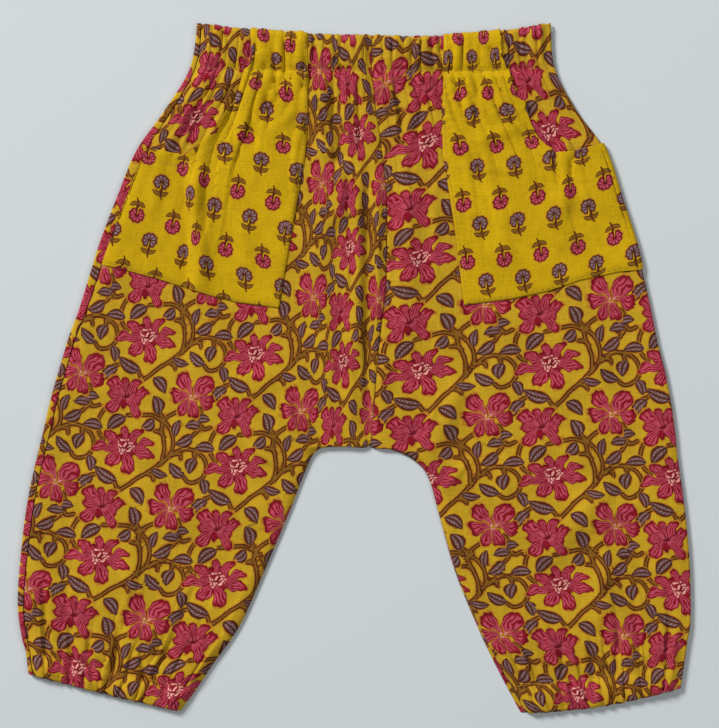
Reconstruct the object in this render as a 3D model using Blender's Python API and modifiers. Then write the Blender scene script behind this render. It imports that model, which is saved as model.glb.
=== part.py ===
"""Baby harem pants of block-printed cotton, laid flat with the front up.

Four main pieces, a front and a back for each leg, meet at a centre seam and at the side
folds. A patch pocket with a scooped mouth lies on each front and runs up to the waist edge.
The waist and the cuffs are turned casings, drawn up into gathers by elastic inside.

Right and left are the wearer's. X runs to the wearer's left, Y to the waist, Z up.
The origin is under the middle of the laid garment, on the surface it lies on.
"""

import math

import bmesh
import bpy

MM = 0.001

# The cloth and its layers
WALL = 1.0 * MM
GAP = 0.3 * MM
SEAM_GAP = 0.4 * MM
BACK_SEAM_SHIFT = 3.0 * MM
BACK_MID = WALL / 2
FRONT_MID = WALL + GAP + WALL / 2
POCKET_LIFT = 1.6 * MM
FOLD_RADIUS = 1.5 * MM
FOLD_STEPS = 4

# Gathers on one front panel, and the columns that the plain cloth has
WAIST_GATHERS = 18
CUFF_GATHERS = 12
BODY_COLUMNS = 24
BACK_COLUMNS = 5
GATHER_UNEVENNESS = 0.28
EDGE_SCALLOP = 1.1 * MM

# The middle of the box of the section tables, which becomes the origin
TABLE_MIDDLE_X = 0.25 * MM
TABLE_MIDDLE_Y = -0.3 * MM

# Sections across each leg, from the waist edge to the hem, in millimetres. Each runs from
# the inner edge (centre seam, crotch, inseam) to the side fold. Seam place is measured round
# the side fold from where it leaves the ground, inseam strip is how much of the back shows
# past the front, and drop is how far the section's middle hangs below a straight line.
ROW_COLUMNS = ("inner_x", "inner_y", "outer_x", "outer_y", "seam_place", "inseam_strip", "drop")
RIGHT_LEG = {
    "waist edge": (10.4, 193.4, -91.1, 200.2, 5.5, 0.0, 2.0),
    "casing stitch": (10.4, 172.8, -95.4, 174.0, 6.0, 0.0, 0.5),
    "high hip": (12.8, 149.6, -110.8, 148.5, 7.5, 0.0, 0.0),
    "pocket mouth": (16.2, 126.4, -126.4, 126.4, 8.5, 0.0, 0.0),
    "hip": (19.1, 97.4, -137.5, 99.8, 9.0, 0.0, 0.0),
    "low hip": (19.1, 68.4, -147.3, 74.2, 9.0, 0.0, 0.0),
    "pocket foot": (18.6, 45.2, -153.1, 55.7, 8.0, 0.0, 0.0),
    "seat top": (15.7, 22.0, -159.5, 34.8, 7.5, 0.0, 0.0),
    "seat": (13.3, -1.2, -165.9, 17.4, 7.0, 0.0, 0.0),
    "low seat": (11.6, -24.4, -171.1, 0.0, 7.0, 0.0, 0.0),
    "crotch seam": (9.3, -44.7, -175.2, -13.9, 7.0, 0.0, 0.0),
    "crotch": (-5.2, -45.8, -177.5, -23.2, 7.0, 0.0, 0.0),
    "crotch corner": (-20.9, -47.6, -179.8, -33.6, 7.0, 0.0, 0.0),
    "inseam top": (-28.4, -60.3, -183.3, -48.1, 7.0, 0.0, 0.0),
    "thigh": (-37.1, -82.4, -188.5, -70.8, 7.0, 0.0, 0.0),
    "knee": (-49.3, -111.4, -192.6, -98.6, 7.0, 0.0, 0.0),
    "shin": (-66.1, -149.1, -195.4, -134.6, 6.5, 0.0, 0.0),
    "ankle": (-82.4, -172.8, -193.1, -156.0, 6.0, 0.0, 0.0),
    "cuff stitch": (-91.6, -186.6, -190.8, -164.1, 5.5, 0.0, 0.4),
    "hem": (-100.9, -199.4, -189.1, -177.5, 5.5, 0.0, 0.8),
}
LEFT_LEG = {
    "waist edge": (10.4, 193.4, 114.3, 200.2, 1.6, 0.0, 3.4),
    "casing stitch": (10.4, 172.8, 116.6, 174.0, 1.8, 0.0, 1.2),
    "high hip": (12.8, 149.6, 129.3, 149.6, 1.8, 0.0, 0.0),
    "pocket mouth": (16.2, 126.4, 145.6, 126.4, 1.8, 0.0, 0.0),
    "hip": (19.1, 97.4, 155.4, 97.4, 1.8, 0.0, 0.0),
    "low hip": (19.1, 68.4, 163.0, 74.2, 1.8, 0.0, 0.0),
    "pocket foot": (18.6, 45.2, 167.6, 55.7, 1.8, 0.0, 0.0),
    "seat top": (15.7, 22.0, 172.3, 34.8, 1.8, 0.0, 0.0),
    "seat": (13.3, -1.2, 176.3, 15.1, 1.8, 0.0, 0.0),
    "low seat": (11.6, -24.4, 181.0, -3.5, 1.8, 0.0, 0.0),
    "crotch seam": (9.3, -44.7, 184.4, -21.5, 1.8, 0.0, 0.0),
    "crotch": (22.0, -47.6, 185.6, -30.2, 1.8, 0.0, 0.0),
    "crotch corner": (33.6, -52.8, 186.8, -39.4, 1.8, 0.0, 0.0),
    "inseam top": (42.9, -63.2, 187.9, -51.0, 1.8, 0.0, 0.0),
    "thigh": (49.9, -87.0, 192.0, -81.2, 1.8, 0.0, 0.0),
    "knee": (59.2, -119.5, 194.9, -112.5, 1.8, 0.6, 0.0),
    "shin": (72.5, -152.0, 195.5, -145.0, 1.8, 1.2, 0.0),
    "ankle": (80.0, -168.2, 193.7, -158.9, 1.8, 2.0, 0.0),
    "cuff stitch": (88.7, -185.0, 192.0, -170.5, 1.8, 2.6, 1.6),
    "hem": (96.9, -200.2, 189.7, -185.6, 1.8, 2.6, 3.6),
}
ROW_NAMES = tuple(RIGHT_LEG)
CROTCH_ROW = ROW_NAMES.index("crotch seam")
HEM_ROW = ROW_NAMES.index("hem")

# Places of the cut sections, in rows of the tables: close where cloth is gathered
CASING_PLACES = (0.0, 0.14, 0.38, 0.66, 0.88, 1.0)
FAN_PLACES = (1.18, 1.5, 1.9, 2.4)
BODY_PLACES = tuple(float(row) for row in range(3, 16))
CUFF_PLACES = (15.6, 16.3, 16.9, 17.4, 17.8, 18.0, 18.25, 18.6, 18.88, 19.0)
ALL_PLACES = CASING_PLACES + FAN_PLACES + BODY_PLACES + CUFF_PLACES

# How gathered cloth rises down a panel, in millimetres: the roll of the whole casing, and
# each gather from trough to crest
RISE_COLUMNS = ("place", "roll", "gather")
WAIST_RISE = (
    (0.0, 0.3, 0.6),
    (0.14, 1.2, 1.6),
    (0.38, 1.6, 2.0),
    (0.66, 1.6, 2.0),
    (0.88, 1.1, 1.6),
    (1.0, 0.2, 1.2),
    (1.18, 0.8, 2.0),
    (1.5, 0.9, 1.7),
    (2.4, 0.6, 0.9),
    (3.4, 0.5, 0.0),
)
CUFF_RISE = (
    (15.0, 0.5, 0.0),
    (16.3, 0.6, 0.7),
    (17.4, 0.8, 1.8),
    (18.0, 0.2, 1.3),
    (18.25, 1.0, 1.7),
    (18.6, 1.2, 1.8),
    (18.88, 0.8, 1.4),
    (19.0, 0.2, 0.6),
)

# Height of the cloth by distance from a folded or seamed edge (mm)
INSEAM_RISE = ((0.8, 0.0), (2.5, 1.0), (6.0, 1.3), (12.0, 0.8), (25.0, 0.6))
CENTRE_SEAM_RISE = ((0.8, 0.2), (2.5, 0.6), (6.0, 0.9), (12.0, 0.7), (25.0, 0.6))
SIDE_RISE = ((0.8, 1.7), (4.0, 1.9), (10.0, 1.5), (22.0, 0.6), (40.0, 0.6))
EDGE_DISTANCES = (0.8, 2.5, 6.0, 12.0)
HELD_REACH = 5.0 * MM
PLAIN_ROLL = 0.5 * MM

# The largest soft folds of the front: where each runs, its half width and its height (mm)
FOLD_COLUMNS = ("x", "y", "end_x", "end_y", "half_width", "height")
FOLDS = {
    "valley beside the centre seam": (8.7, 128.0, 8.7, -50.0, 3.2, -2.0),
    "ridge right of the valley": (1.5, 130.0, 1.0, -44.0, 6.0, 1.6),
    "ridge left of the valley": (14.0, 124.0, 13.5, -40.0, 4.5, 1.2),
    "tuck under the waist": (-27.0, 165.0, -11.0, 117.0, 5.0, 1.7),
    "tail of the tuck": (-11.0, 122.0, -11.0, 78.0, 5.0, 1.4),
    "hollow beside the tuck": (-19.0, 160.0, -3.0, 112.0, 4.0, -1.2),
    "long fold of the right seat": (-22.0, 95.0, -14.0, -30.0, 7.0, 1.0),
    "long fold of the left seat": (34.0, 135.0, 30.0, 0.0, 7.0, 1.1),
    "fold into the right crotch corner": (-24.0, -52.0, -58.0, 4.0, 6.0, 1.1),
    "fold into the left crotch corner": (40.0, -56.0, 66.0, -4.0, 6.0, 1.1),
    "tuck of the right pocket": (-92.0, 124.0, -88.0, 40.0, 5.0, 1.8),
    "hollow of the right pocket": (-98.5, 120.0, -96.0, 44.0, 4.0, -0.8),
    "pleat of the left pocket mouth": (121.0, 138.0, 122.0, 84.0, 4.5, 1.3),
    "right knee fold": (-150.0, -60.0, -96.0, -104.0, 8.0, 1.0),
    "left knee fold": (150.0, -66.0, 104.0, -118.0, 8.0, 1.0),
    "right shin fold": (-128.0, -92.0, -132.0, -150.0, 6.0, 0.9),
    "left shin fold": (146.0, -104.0, 142.0, -156.0, 6.0, 0.9),
}
FOLD_FADE = 0.22

# The corners and the scooped mouth of each pocket (mm), clockwise from the waist
RIGHT_POCKET_OUTLINE = (
    (-26.7, 206.0),
    (-26.7, 140.4),
    (-28.4, 123.0),
    (-34.8, 87.0),
    (-40.0, 56.3),
    (-43.5, 34.8),
    (-70.2, 38.3),
    (-83.5, 41.8),
    (-114.8, 51.6),
    (-137.5, 58.0),
    (-160.0, 62.6),
    (-136.0, 130.0),
    (-97.4, 123.5),
    (-88.2, 131.0),
    (-80.0, 138.6),
    (-73.7, 150.8),
    (-67.3, 158.3),
    (-65.0, 167.0),
    (-60.3, 177.0),
    (-58.5, 182.0),
    (-59.2, 206.0),
)
LEFT_POCKET_OUTLINE = (
    (84.7, 206.0),
    (85.3, 181.0),
    (90.5, 170.5),
    (94.0, 158.3),
    (98.6, 153.7),
    (103.0, 142.0),
    (107.0, 134.0),
    (116.0, 124.7),
    (127.0, 125.9),
    (135.7, 128.2),
    (160.0, 133.0),
    (180.0, 57.4),
    (153.7, 55.7),
    (131.7, 51.0),
    (113.7, 44.7),
    (91.6, 40.0),
    (63.8, 36.5),
    (60.9, 60.3),
    (58.0, 83.0),
    (54.5, 105.0),
    (51.6, 123.0),
    (51.0, 140.4),
    (52.2, 206.0),
)
CUTTER_HEIGHT = 30 * MM

# Each side of the pants: its sections, its pocket and where its uneven gathers begin
SIDES = (
    ("right", RIGHT_LEG, RIGHT_POCKET_OUTLINE, 0.4),
    ("left", LEFT_LEG, LEFT_POCKET_OUTLINE, 1.4),
)

# Colours and finishes of the pieces: red, green, blue, roughness
PRINTED_FRONT_FINISH = (0.36, 0.17, 0.035, 0.9)
PRINTED_BACK_FINISH = (0.33, 0.16, 0.035, 0.9)
POCKET_FINISH = (0.50, 0.31, 0.015, 0.88)


def clear_scene():
    """Remove every object of the open file, so that the script can run again."""
    for item in list(bpy.data.objects):
        bpy.data.objects.remove(item, do_unlink=True)


def new_collection(name):
    """A collection for the pieces or the cutters, linked to the scene."""
    collection = bpy.data.collections.new(name)
    bpy.context.scene.collection.children.link(collection)
    return collection


def cloth_material(name, finish):
    """A matt woven finish."""
    red, green, blue, roughness = finish
    material = bpy.data.materials.new(name)
    material.use_nodes = True
    shader = material.node_tree.nodes["Principled BSDF"]
    shader.inputs["Base Color"].default_value = (red, green, blue, 1.0)
    shader.inputs["Roughness"].default_value = roughness
    shader.inputs["Metallic"].default_value = 0.0
    material.diffuse_color = (red, green, blue, 1.0)
    return material


def between(table, value, column=1):
    """Straight-line reading of a column of a table, by the value in its first column."""
    for low, high in zip(table, table[1:]):
        if value <= high[0]:
            share = max(0.0, (value - low[0]) / (high[0] - low[0]))
            return low[column] + (high[column] - low[column]) * share
    return table[-1][column]


def section(leg, place):
    """The section at a place between rows, on smooth curves through the table."""
    row = min(int(place), HEM_ROW - 1)
    share = place - row
    rows = [leg[ROW_NAMES[min(max(row + step, 0), HEM_ROW)]] for step in (-1, 0, 1, 2)]
    weights = (
        -0.5 * share + share**2 - 0.5 * share**3,
        1 - 2.5 * share**2 + 1.5 * share**3,
        0.5 * share + 2 * share**2 - 1.5 * share**3,
        -0.5 * share**2 + 0.5 * share**3,
    )
    values = [sum(w * r[column] for w, r in zip(weights, rows)) for column in range(len(ROW_COLUMNS))]
    return {name: value * MM for name, value in zip(ROW_COLUMNS, values)}


def gather_shares(count, phase, length):
    """Shares across a panel of each crest and trough of its gathers, between two flat edges."""
    edge = EDGE_DISTANCES[0] * MM / length
    last = 2 * count
    uneven = [k + GATHER_UNEVENNESS * math.sin(2.1 * k + phase) for k in range(1, last)]
    inside = [edge + (1 - 2 * edge) * k / last for k in [0] + uneven + [last]]
    return [0.0] + inside + [1.0]


def body_shares(length):
    """Shares across a plain section: close together at both edges, even between them."""
    edges = [distance * MM / length for distance in EDGE_DISTANCES]
    inner, outer = edges[-1], 1 - edges[-1]
    steps = BODY_COLUMNS - 2 * len(edges)
    middle = [inner + (outer - inner) * k / steps for k in range(1, steps)]
    return [0.0] + edges + middle + [1 - edge for edge in reversed(edges)] + [1.0]


def gather_rise(place, crest):
    """Height of the roll and of the gathers at a place: crest is 1 on a crest, 0 in a trough."""
    table = WAIST_RISE if place < ROW_NAMES.index("seat") else CUFF_RISE
    roll = between(table, place, RISE_COLUMNS.index("roll"))
    gather = between(table, place, RISE_COLUMNS.index("gather"))
    return (roll + gather * crest) * MM


def fold_rise(x, y):
    """Height that the large soft folds add at a point of the front."""
    total = 0.0
    for values in FOLDS.values():
        fold = {name: value * MM for name, value in zip(FOLD_COLUMNS, values)}
        run_x = fold["end_x"] - fold["x"]
        run_y = fold["end_y"] - fold["y"]
        length = math.hypot(run_x, run_y)
        along = ((x - fold["x"]) * run_x + (y - fold["y"]) * run_y) / length**2
        across = abs((x - fold["x"]) * run_y - (y - fold["y"]) * run_x) / length
        fade = min(1.0, max(0.0, min(along, 1 - along) / FOLD_FADE))
        profile = math.exp(-((across / fold["half_width"]) ** 2))
        total += fold["height"] * profile * fade * fade * (3 - 2 * fade)
    return total


def front_height(place, crest, x, y, from_inner, from_outer):
    """Height of the middle of the front's wall."""
    seam = CENTRE_SEAM_RISE if place <= CROTCH_ROW else INSEAM_RISE
    inner = between(seam, from_inner / MM) * MM
    side = between(SIDE_RISE, from_outer / MM) * MM
    gathered = max(0.0, gather_rise(place, crest) - PLAIN_ROLL)
    settled = max(inner, side) if from_inner > from_outer else inner
    held = min(1.0, max(0.0, min(from_inner, from_outer) - EDGE_DISTANCES[0] * MM) / HELD_REACH)
    return FRONT_MID + max(0.0, settled + held * (gathered + fold_rise(x, y)))


def round_fold(travel):
    """Distance in from the side edge and height, after a travel round the side fold."""
    start = FOLD_RADIUS + WALL / 2
    quarter = math.pi / 2
    if travel < 0:
        return start - travel, BACK_MID
    if travel > math.pi * FOLD_RADIUS:
        return start + travel - math.pi * FOLD_RADIUS, BACK_MID + 2 * FOLD_RADIUS
    turn = travel / FOLD_RADIUS - quarter
    return start - FOLD_RADIUS * math.cos(turn), BACK_MID + FOLD_RADIUS * (1 + math.sin(turn))


def on_section(row, share):
    """X and Y at a share of a section, which hangs below a straight line by its drop."""
    x = row["inner_x"] + (row["outer_x"] - row["inner_x"]) * share
    y = row["inner_y"] + (row["outer_y"] - row["inner_y"]) * share
    return x, y - row["drop"] * 4 * share * (1 - share)


def section_length(row):
    """Straight length of a section."""
    return math.hypot(row["outer_x"] - row["inner_x"], row["outer_y"] - row["inner_y"])


def front_section(leg, place, gathers, phase):
    """Points of the front's wall along one section, from the inner edge to the side seam."""
    row = section(leg, place)
    length = section_length(row)
    fold_top = math.pi * FOLD_RADIUS
    seam = row["seam_place"] + SEAM_GAP / 2
    start = row["inseam_strip"] + (SEAM_GAP / 2 if place <= CROTCH_ROW else 0.0)
    width = length - round_fold(max(seam, fold_top))[0] - start
    shares = gather_shares(gathers, phase, width) if gathers else body_shares(width)
    scallop = {ROW_NAMES.index("waist edge"): EDGE_SCALLOP, HEM_ROW: -EDGE_SCALLOP}.get(place, 0.0)
    points = []
    for index, share in enumerate(shares):
        inward = start + share * width
        crest = (index + 1) % 2 if gathers else 0.5
        x, y = on_section(row, inward / length)
        y += scallop * (crest - 0.5)
        points.append((x, y, front_height(place, crest, x, y, inward, (1 - share) * width)))
    if seam < fold_top:
        for step in range(1, FOLD_STEPS + 1):
            inward, height = round_fold(fold_top + (seam - fold_top) * step / FOLD_STEPS)
            points.append((*on_section(row, 1 - inward / length), height))
    return points


def back_section(leg, place):
    """Points of the back's wall along one section: flat, then up and over the side fold."""
    row = section(leg, place)
    length = section_length(row)
    seam = row["seam_place"] - SEAM_GAP / 2
    flat_end = length - FOLD_RADIUS - WALL / 2
    towards_left = math.copysign(1.0, row["outer_x"] - row["inner_x"])
    aside = BACK_SEAM_SHIFT * min(1.0, CROTCH_ROW - place) * towards_left
    start = SEAM_GAP / 2 + aside if place <= CROTCH_ROW else 0.0
    points = []
    for step in range(BACK_COLUMNS):
        inward = start + (flat_end - start) * step / BACK_COLUMNS
        points.append((inward, BACK_MID))
    turned = min(seam, math.pi * FOLD_RADIUS)
    for step in range(FOLD_STEPS + 2):
        inward, height = round_fold(turned * step / (FOLD_STEPS + 1))
        points.append((length - inward, height))
    if seam > turned:
        inward, height = round_fold(seam)
        points.append((length - inward, height))
    return [(*on_section(row, inward / length), height) for inward, height in points]


def join_sections(mesh, sections):
    """Faces between neighbouring sections, which may have unlike numbers of points."""
    rings = [[mesh.verts.new(point) for point in points] for points in sections]
    for upper, lower in zip(rings, rings[1:]):
        if len(upper) == len(lower):
            for k in range(len(upper) - 1):
                mesh.faces.new((upper[k], upper[k + 1], lower[k + 1], lower[k]))
            continue
        i, j = 0, 0
        while i < len(upper) - 1 or j < len(lower) - 1:
            upper_share = (i + 1) / (len(upper) - 1)
            lower_share = (j + 1) / (len(lower) - 1)
            if upper_share <= lower_share:
                mesh.faces.new((upper[i], upper[i + 1], lower[j]))
                i += 1
            else:
                mesh.faces.new((upper[i], lower[j + 1], lower[j]))
                j += 1


def cloth_object(name, sections, collection, material):
    """A wall of cloth through the sections, its upper side facing up."""
    mesh = bmesh.new()
    join_sections(mesh, sections)
    bmesh.ops.translate(mesh, verts=mesh.verts, vec=(-TABLE_MIDDLE_X, -TABLE_MIDDLE_Y, 0.0))
    bmesh.ops.recalc_face_normals(mesh, faces=mesh.faces)
    data = bpy.data.meshes.new(name)
    mesh.to_mesh(data)
    mesh.free()
    if sum(face.normal.z * face.area for face in data.polygons) < 0:
        data.flip_normals()
    data.materials.append(material)
    data.shade_smooth()
    piece = bpy.data.objects.new(name, data)
    collection.objects.link(piece)
    wall = piece.modifiers.new("wall", "SOLIDIFY")
    wall.thickness = WALL
    wall.offset = 0.0
    return piece


def make_front(name, leg, phase, collection, material):
    """A front panel: gathered casing, the fan of the gathers, plain cloth, gathered cuff."""
    waist = [front_section(leg, place, WAIST_GATHERS, phase) for place in CASING_PLACES + FAN_PLACES]
    plain = [front_section(leg, place, 0, phase) for place in BODY_PLACES]
    cuff = [front_section(leg, place, CUFF_GATHERS, phase) for place in CUFF_PLACES]
    return cloth_object(name, waist + plain + cuff, collection, material)


def make_back(name, leg, collection, material):
    """A back panel, flat under the front and turned up round the side fold."""
    sections = [back_section(leg, place) for place in ALL_PLACES]
    return cloth_object(name, sections, collection, material)


def outline_prism(name, outline, collection):
    """An upright prism over an outline, which trims a pocket out of its front's form."""
    mesh = bmesh.new()
    corners = [
        mesh.verts.new((x * MM - TABLE_MIDDLE_X, y * MM - TABLE_MIDDLE_Y, -CUTTER_HEIGHT / 2))
        for x, y in outline
    ]
    foot = mesh.faces.new(corners)
    raised = bmesh.ops.extrude_face_region(mesh, geom=[foot])
    lifted = [item for item in raised["geom"] if isinstance(item, bmesh.types.BMVert)]
    bmesh.ops.translate(mesh, verts=lifted, vec=(0.0, 0.0, CUTTER_HEIGHT))
    bmesh.ops.recalc_face_normals(mesh, faces=mesh.faces)
    data = bpy.data.meshes.new(name)
    mesh.to_mesh(data)
    mesh.free()
    prism = bpy.data.objects.new(name, data)
    prism.display_type = "WIRE"
    prism.hide_render = True
    collection.objects.link(prism)
    return prism


def make_pocket(name, front, outline, collection, cutters, material):
    """A patch pocket: the front's points, moved out clear of it and trimmed to the outline."""
    data = front.data.copy()
    data.name = name
    outward = [normal.vector.copy() for normal in data.vertex_normals]
    for vertex, normal in zip(data.vertices, outward):
        vertex.co += normal * POCKET_LIFT
    data.materials.clear()
    data.materials.append(material)
    pocket = bpy.data.objects.new(name, data)
    collection.objects.link(pocket)
    wall = pocket.modifiers.new("wall", "SOLIDIFY")
    wall.thickness = WALL
    wall.offset = 0.0
    trim = pocket.modifiers.new("trim", "BOOLEAN")
    trim.operation = "INTERSECT"
    trim.object = outline_prism(name + "_outline", outline, cutters)
    return pocket


def main():
    """Build the front, the back and the pocket of each leg."""
    clear_scene()
    pieces = new_collection("baby_harem_pants")
    cutters = new_collection("pocket_outlines")
    for side, leg, outline, phase in SIDES:
        front_finish = cloth_material("front_print_" + side, PRINTED_FRONT_FINISH)
        back_finish = cloth_material("back_print_" + side, PRINTED_BACK_FINISH)
        pocket_finish = cloth_material("pocket_print_" + side, POCKET_FINISH)
        front = make_front("front_panel_" + side, leg, phase, pieces, front_finish)
        make_back("back_panel_" + side, leg, pieces, back_finish)
        make_pocket("pocket_" + side, front, outline, pieces, cutters, pocket_finish)


main()
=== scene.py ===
"""Looks of the baby harem pants: printed cotton laid flat, front up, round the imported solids.

Right and left are the wearer's. X runs to the wearer's left, Y to the waist, Z up.
"""

import math

import bpy
import numpy as np
from bpy.props import FloatProperty, FloatVectorProperty, PointerProperty
from bpy.types import Operator, Panel, PropertyGroup
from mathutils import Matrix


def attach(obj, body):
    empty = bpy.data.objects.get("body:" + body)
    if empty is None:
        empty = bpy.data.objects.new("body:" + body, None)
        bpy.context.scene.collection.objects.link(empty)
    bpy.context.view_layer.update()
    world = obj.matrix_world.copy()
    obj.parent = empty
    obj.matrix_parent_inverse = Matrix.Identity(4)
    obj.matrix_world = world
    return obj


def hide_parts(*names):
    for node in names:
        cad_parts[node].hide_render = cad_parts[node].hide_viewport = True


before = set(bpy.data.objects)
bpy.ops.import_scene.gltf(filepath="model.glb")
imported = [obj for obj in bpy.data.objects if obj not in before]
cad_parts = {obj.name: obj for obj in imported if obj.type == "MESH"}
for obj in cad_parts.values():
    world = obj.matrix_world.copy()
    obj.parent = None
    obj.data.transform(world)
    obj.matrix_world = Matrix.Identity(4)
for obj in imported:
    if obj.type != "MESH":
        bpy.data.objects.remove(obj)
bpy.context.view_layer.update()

bl_info = {
    "name": "Baby harem pants",
    "version": (1, 0, 0),
    "blender": (4, 5, 0),
    "location": "3D View > Sidebar > Pants",
    "description": "Block-printed cotton pants with gathered waist and cuffs and scooped pockets",
    "category": "Object",
}

MM = 0.001

# The solids' layers, which the cloth follows
WALL = 1.0
FRONT_LOW = 2.3
FOLD_RADIUS = 2.0
SOLID_FOLD_RADIUS = 1.5
FOLD_TRAVEL = math.pi * SOLID_FOLD_RADIUS
SEAM_GAP = 0.4
BACK_SEAM_SHIFT = 3.0
TABLE_MIDDLE = (0.25, -0.3)

# Gathers on one front panel
WAIST_GATHERS = 18
CUFF_GATHERS = 12
GATHER_UNEVENNESS = 0.45
EDGE_SCALLOP = 1.2
HEM_SCALLOP = 0.6

# Sections across each leg, from the waist edge to the hem, in millimetres. Each runs from
# the inner edge (centre seam, crotch, inseam) to the side fold. Seam place is measured round
# the side fold from where it leaves the ground, inseam strip is how much of the back shows
# past the front, and drop is how far the section's middle hangs below a straight line.
ROW_COLUMNS = ("inner_x", "inner_y", "outer_x", "outer_y", "seam_place", "inseam_strip", "drop")
RIGHT_LEG = {
    "waist edge": (10.4, 193.4, -91.1, 200.2, 5.5, 0.0, 2.0),
    "casing stitch": (10.4, 172.8, -95.4, 174.0, 6.0, 0.0, 0.5),
    "high hip": (12.8, 149.6, -110.8, 148.5, 7.5, 0.0, 0.0),
    "pocket mouth": (16.2, 126.4, -126.4, 126.4, 8.5, 0.0, 0.0),
    "hip": (19.1, 97.4, -137.5, 99.8, 9.0, 0.0, 0.0),
    "low hip": (19.1, 68.4, -147.3, 74.2, 9.0, 0.0, 0.0),
    "pocket foot": (18.6, 45.2, -153.1, 55.7, 8.0, 0.0, 0.0),
    "seat top": (15.7, 22.0, -159.5, 34.8, 7.5, 0.0, 0.0),
    "seat": (13.3, -1.2, -165.9, 17.4, 7.0, 0.0, 0.0),
    "low seat": (11.6, -24.4, -171.1, 0.0, 7.0, 0.0, 0.0),
    "crotch seam": (9.3, -44.7, -175.2, -13.9, 7.0, 0.0, 0.0),
    "crotch": (-5.2, -45.8, -177.5, -23.2, 7.0, 0.0, 0.0),
    "crotch corner": (-20.9, -47.6, -179.8, -33.6, 7.0, 0.0, 0.0),
    "inseam top": (-28.4, -60.3, -183.3, -48.1, 7.0, 0.0, 0.0),
    "thigh": (-37.1, -82.4, -188.5, -70.8, 7.0, 0.0, 0.0),
    "knee": (-49.3, -111.4, -192.6, -98.6, 7.0, 0.0, 0.0),
    "shin": (-66.1, -149.1, -195.4, -134.6, 6.5, 0.0, 0.0),
    "ankle": (-82.4, -172.8, -193.1, -156.0, 6.0, 0.0, 0.0),
    "cuff stitch": (-91.6, -186.6, -190.8, -164.1, 5.5, 0.0, 0.4),
    "hem": (-100.9, -199.4, -189.1, -177.5, 5.5, 0.0, 0.8),
}
LEFT_LEG = {
    "waist edge": (10.4, 193.4, 114.3, 200.2, 1.6, 0.0, 3.4),
    "casing stitch": (10.4, 172.8, 116.6, 174.0, 1.8, 0.0, 1.2),
    "high hip": (12.8, 149.6, 129.3, 149.6, 1.8, 0.0, 0.0),
    "pocket mouth": (16.2, 126.4, 145.6, 126.4, 1.8, 0.0, 0.0),
    "hip": (19.1, 97.4, 155.4, 97.4, 1.8, 0.0, 0.0),
    "low hip": (19.1, 68.4, 163.0, 74.2, 1.8, 0.0, 0.0),
    "pocket foot": (18.6, 45.2, 167.6, 55.7, 1.8, 0.0, 0.0),
    "seat top": (15.7, 22.0, 172.3, 34.8, 1.8, 0.0, 0.0),
    "seat": (13.3, -1.2, 176.3, 15.1, 1.8, 0.0, 0.0),
    "low seat": (11.6, -24.4, 181.0, -3.5, 1.8, 0.0, 0.0),
    "crotch seam": (9.3, -44.7, 184.4, -21.5, 1.8, 0.0, 0.0),
    "crotch": (22.0, -47.6, 185.6, -30.2, 1.8, 0.0, 0.0),
    "crotch corner": (33.6, -52.8, 186.8, -39.4, 1.8, 0.0, 0.0),
    "inseam top": (42.9, -63.2, 187.9, -51.0, 1.8, 0.0, 0.0),
    "thigh": (49.9, -87.0, 192.0, -81.2, 1.8, 0.0, 0.0),
    "knee": (59.2, -119.5, 194.9, -112.5, 1.8, 0.6, 0.0),
    "shin": (72.5, -152.0, 195.5, -145.0, 1.8, 1.2, 0.0),
    "ankle": (80.0, -168.2, 193.7, -158.9, 1.8, 2.0, 0.0),
    "cuff stitch": (88.7, -185.0, 192.0, -170.5, 1.8, 2.6, 1.6),
    "hem": (96.9, -200.2, 189.7, -185.6, 1.8, 2.6, 3.6),
}
ROW_NAMES = tuple(RIGHT_LEG)
CROTCH_ROW = ROW_NAMES.index("crotch seam")
HEM_ROW = ROW_NAMES.index("hem")

# How gathered cloth rises down a panel, in millimetres: the roll of the whole casing, and
# each gather from trough to crest
WAIST_RISE = (
    (0.0, 0.3, 0.6),
    (0.14, 1.2, 1.6),
    (0.38, 1.6, 2.0),
    (0.66, 1.6, 2.0),
    (0.88, 1.1, 1.6),
    (1.0, 0.2, 1.2),
    (1.18, 0.8, 2.0),
    (1.5, 0.9, 1.7),
    (2.4, 0.6, 0.9),
    (3.4, 0.5, 0.0),
)
CUFF_RISE = (
    (15.0, 0.5, 0.0),
    (16.3, 0.6, 0.7),
    (17.4, 0.8, 1.8),
    (18.0, 0.2, 1.3),
    (18.25, 1.0, 1.7),
    (18.6, 1.2, 1.8),
    (18.88, 0.8, 1.4),
    (19.0, 0.2, 0.6),
)
PLAIN_ROLL = 0.5

# Height of the cloth by distance from a folded or seamed edge (mm)
INSEAM_RISE = ((0.0, -0.7), (0.8, 0.0), (2.5, 1.0), (6.0, 1.3), (12.0, 0.8), (25.0, 0.6))
CENTRE_SEAM_RISE = ((0.0, 0.4), (0.8, 0.6), (2.5, 0.8), (6.0, 0.9), (12.0, 0.7), (25.0, 0.6))
SIDE_RISE = ((0.0, 1.4), (0.8, 1.7), (4.0, 1.9), (10.0, 1.5), (22.0, 0.6), (40.0, 0.6))
HELD_REACH = 5.0

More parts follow.
